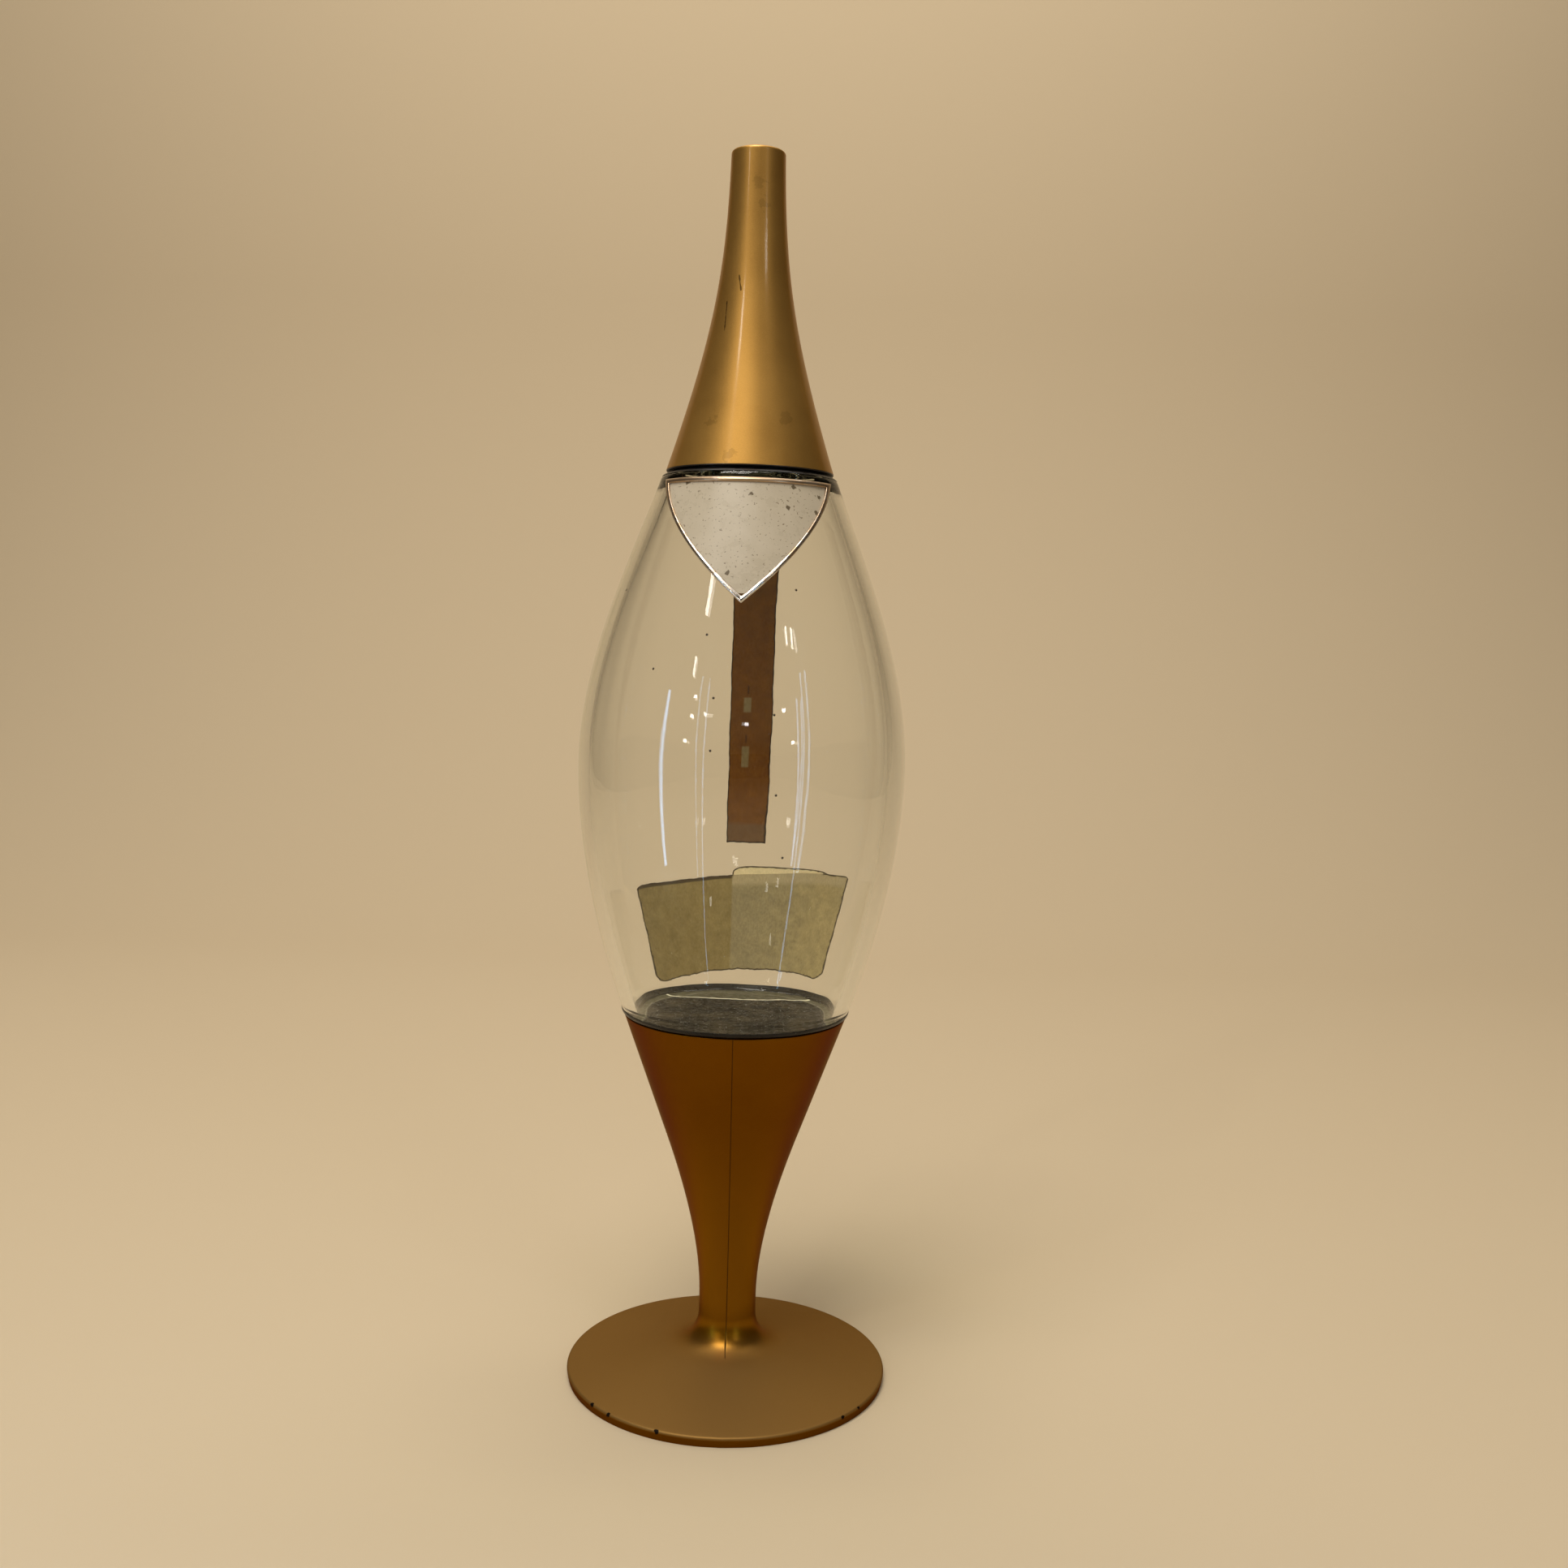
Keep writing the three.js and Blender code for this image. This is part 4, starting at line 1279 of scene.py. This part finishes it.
def edge_in_sight(place):
    """The slip hides the label's dark edge where it covers it, so the dark edge stops there."""
    across = band(coordinate(place, "X"), *hidden_across, 0.0006)
    return maths("SUBTRACT", 1.0, both(across, ranged(coordinate(place, "Z"), *hidden_above)))


olive_paper = old_paper(
    "olive_paper", light=(0.345, 0.225, 0.072), dark=(0.240, 0.152, 0.044),
    edge_colour=(0.050, 0.025, 0.008), edge_width=0.5, zones=under_slip, edge_shows=edge_in_sight,
)
label = sheet_on_glass("paper_label", 170, 90, label_layout, back_side, rolled_lip, [olive_paper])
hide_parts("back_label")

# %% Slip over the label
slip_proud, slip_clear = 0.32, 0.12


def slip_layout(u, v):
    """A slip whose right corners are rounder than its left ones."""
    ends = corner_lift(u, slip_left + slip_right, slip_corner) * (0.35 + 0.65 * u)
    bottom = slip_low + ends
    top = slip_high - ends + fray(u * 2, 0.08, 2.2)
    right_side = slip_foot_right + v * (slip_right - slip_foot_right)
    return -slip_left + u * (slip_left + right_side), bottom + v * (top - bottom)


pale_paper = old_paper(
    "pale_paper", light=(0.74, 0.53, 0.285), dark=(0.65, 0.46, 0.24),
    edge_colour=(0.060, 0.032, 0.012), edge_width=0.55,
)
slip = sheet_on_glass(
    "paper_slip", 110, 90, slip_layout, back_side, slip_proud, [pale_paper], sunk=-slip_clear,
)
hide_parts("over_label")

# %% [markdown]
# The cap is the same lacquer on the same plastic: a cone whose sides curve inwards, ending in a closed
# slender tip. Its rim is bare black at the very edge. Two scratches run down the left of its front, and a
# few faint spots of grime lie on it.

# %% Cap outline
tip_radius = 8.15
cap_wall, tip_wall = 1.6, 2.4
rim_pull, rim_lean = 40.8, 0.328
tip_pull, tip_lean = 35.8, 0.02
rim_edge_round, tip_edge_round = 0.45, 1.0
bare_rim = 0.55
hollow_start = 0.6

cap_line = sweep(
    (cap_rim_radius, cap_bottom),
    (cap_rim_radius - rim_lean * rim_pull, cap_bottom + rim_pull),
    (tip_radius + tip_lean * tip_pull, cap_top - tip_pull),
    (tip_radius, cap_top),
    110,
)
hollow_top = cap_top - tip_wall
hollow_line = cut(offset(cap_line, cap_wall), cap_bottom + hollow_start, hollow_top)
hollow_mouth = (hollow_line[0][0] + rim_lean * hollow_start, cap_bottom)
cap_section = np.concatenate((
    [(0, hollow_top)],
    line((2, hollow_top), (hollow_line[-1][0] - 1, hollow_top), 2),
    hollow_line[::-1],
    [hollow_mouth],
    fillet(hollow_mouth, (cap_rim_radius, cap_bottom), cap_line[6], rim_edge_round, 6),
    cut(cap_line, cap_bottom + bare_rim, cap_top - 1.4),
    fillet(cap_line[-8], (tip_radius, cap_top), (0, cap_top), tip_edge_round),
    line((tip_radius - 2, cap_top), (1.5, cap_top), 3),
    [(0, cap_top)],
))

# %% Cap finish and mesh
scratch_ends = (((911, 339), (913, 357)), ((896, 372), (893, 408)))
scratch_width = 0.00022
grime_pixels = ((898, 560), (934, 224), (941, 250), (876, 520), (968, 515))
grime_radius = 0.0018


def scratch(place, start, end):
    """A thin line from one point to another, 1 on it and 0 off it."""
    run = end - start
    from_start = vectors("SUBTRACT", {0: place, 1: tuple(start)})
    share = vectors("DOT_PRODUCT", {0: from_start, 1: tuple(run / run.length_squared)})
    share = node("ShaderNodeClamp", {"Value": share}).outputs[0]
    nearest = vectors("SCALE", {0: tuple(run), "Scale": share})
    away = vectors("DISTANCE", {0: from_start, 1: nearest})
    away = uneven(away, grain(place, 500, 3), 0.8 * scratch_width)
    return ranged(away, scratch_width, scratch_width * 0.4)


def cap_marks(place, colour, rough):
    ends = [(seen_on(cap_line, a), seen_on(cap_line, b)) for a, b in scratch_ends]
    scratches = any_of([scratch(place, start, end) for start, end in ends])
    points = [tuple(seen_on(cap_line, pixel)) for pixel in grime_pixels]
    grime = any_of([spot(place, point, grime_radius, 0.9, 500) for point in points])
    worn = maths("MAXIMUM", scratches, both(grime, 0.22))
    return tinge(colour, worn, 0.8, (0.04, 0.02, 0.006)), rough


def bare_black(radius, height):
    inside = radius < radius_at(cap_line, height) - 0.8 and height < cap_top - 1.2
    return inside or height < cap_bottom + bare_rim * 0.7


cap_gold = gold_lacquer(
    "cap_gold", bright=(0.51, 0.287, 0.072), deep=(0.42, 0.223, 0.050),
    edge_tint=(0.75, 0.46, 0.16), rough_low=0.42, coat=0.45, marks=cap_marks,
)
cap = turned_piece("cap_turned", turned_rings(cap_section), [cap_gold, black_plastic])
second_finish(cap, bare_black)
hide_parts("cap_cone")
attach(cap, "cap")

# %% [markdown]
# Inside the cap sits a black moulding. Its flange closes the cap's mouth and rests on the glass, its
# sleeve goes round the neck, and a peg under its plate carries the cork. At rest only the flange's
# edge shows, in the gap under the cap's rim. All of it shows when the cap is off.

# %% Stopper moulding
hole_radius = lip_radius + 0.7
sleeve_radius = hole_radius + 1.2
flange_top = flange_bottom + 3.2
plate_low = plate_top - 2.0
peg_radius = 3.0
peg_bottom = plate_low - 10
bevel, flange_bevel = 0.4, 0.35
cone_room = offset(cap_line, cap_wall + 0.3)

stopper_line = np.concatenate((
    [(0, peg_bottom), (peg_radius - bevel, peg_bottom), (peg_radius, peg_bottom + bevel)],
    [(peg_radius, plate_low - bevel), (peg_radius + bevel, plate_low)],
    [(hole_radius - bevel, plate_low), (hole_radius, plate_low - bevel)],
    [(hole_radius, flange_bottom + 3), (hole_radius + 2.8, flange_bottom + 0.2)],
    [(hole_radius + 3.1, flange_bottom), (flange_radius - flange_bevel, flange_bottom)],
    [(flange_radius, flange_bottom + flange_bevel), (flange_radius, flange_top - 0.9)],
    [(flange_radius - 0.5, flange_top), (sleeve_radius + 0.6, flange_top)],
    [(sleeve_radius, flange_top + 0.6)],
    line((sleeve_radius, flange_top + 2), (sleeve_radius, plate_top - 0.5), 12),
    [(sleeve_radius - 0.5, plate_top), (sleeve_radius - 3, plate_top), (0, plate_top)],
))
above_flange = stopper_line[:, 1] > flange_bottom
no_limit = 99
room = np.where(above_flange, radius_at(cone_room, stopper_line[:, 1]), no_limit)
stopper_line[:, 0] = np.minimum(stopper_line[:, 0], room)
stopper = turned_piece("stopper_turned", turned_rings(stopper_line), [black_plastic], crease=30)
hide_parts("stopper_body")
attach(stopper, "cap")

# %% [markdown]
# The cork is a short tapered plug with a hole for the peg. Cork is a mass of tiny cells with dark pores
# that run across the plug, so its finish is a fine cell grain with stretched pits sunk into it.

# %% Cork
cork_taper = 0.5
cork_edge = 0.8
peg_hole = peg_radius + 0.3
hole_bottom = peg_bottom - 0.3
low_radius = cork_radius - cork_taper
cork_line = np.concatenate((
    [(0, cork_bottom), (low_radius - cork_edge, cork_bottom)],
    line((low_radius, cork_bottom + cork_edge), (cork_radius, cork_top - cork_edge / 2), 14),
    [(cork_radius - cork_edge / 2, cork_top), (peg_hole, cork_top)],
    [(peg_hole, hole_bottom), (0, hole_bottom)],
))

cork_finish, shader = new_finish("natural_cork")
place = place_on(shader)
cells = node("ShaderNodeTexVoronoi", {"Vector": place, "Scale": 2200.0}).outputs["Distance"]
pores = ranged(grain(stretched(place, (1, 1, 3.5)), 240, 4, 0.65), 0.60, 0.66)
cloud = ranged(grain(place, 120, 3), 0.3, 0.7)
colour = blend(cloud, (0.42, 0.25, 0.12), (0.55, 0.36, 0.19))
colour = blend(ranged(cells, 0.1, 0.6, 0.3, 0), colour, (0.26, 0.14, 0.06))
colour = tinge(colour, pores, 0.85, (0.10, 0.045, 0.018))
show(shader, colour, ranged(cells, 0, 0.6, 0.95, 0.8))
relief(shader, maths("SUBTRACT", ranged(cells, 0, 0.6, 0, 0.3), pores), 0.6, 0.0003)
cork = turned_piece("cork_turned", turned_rings(cork_line), [cork_finish])
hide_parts("stopper_cork")
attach(cork, "cap")

# %% [markdown]
# The last check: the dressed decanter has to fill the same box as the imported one.

# %% Sizes and finish
new_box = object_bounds()
growth = [round((b - a) / MM, 2) for a, b in zip(cad_box[1], new_box[1])]
print("box grows by", growth, "mm at the top corner")
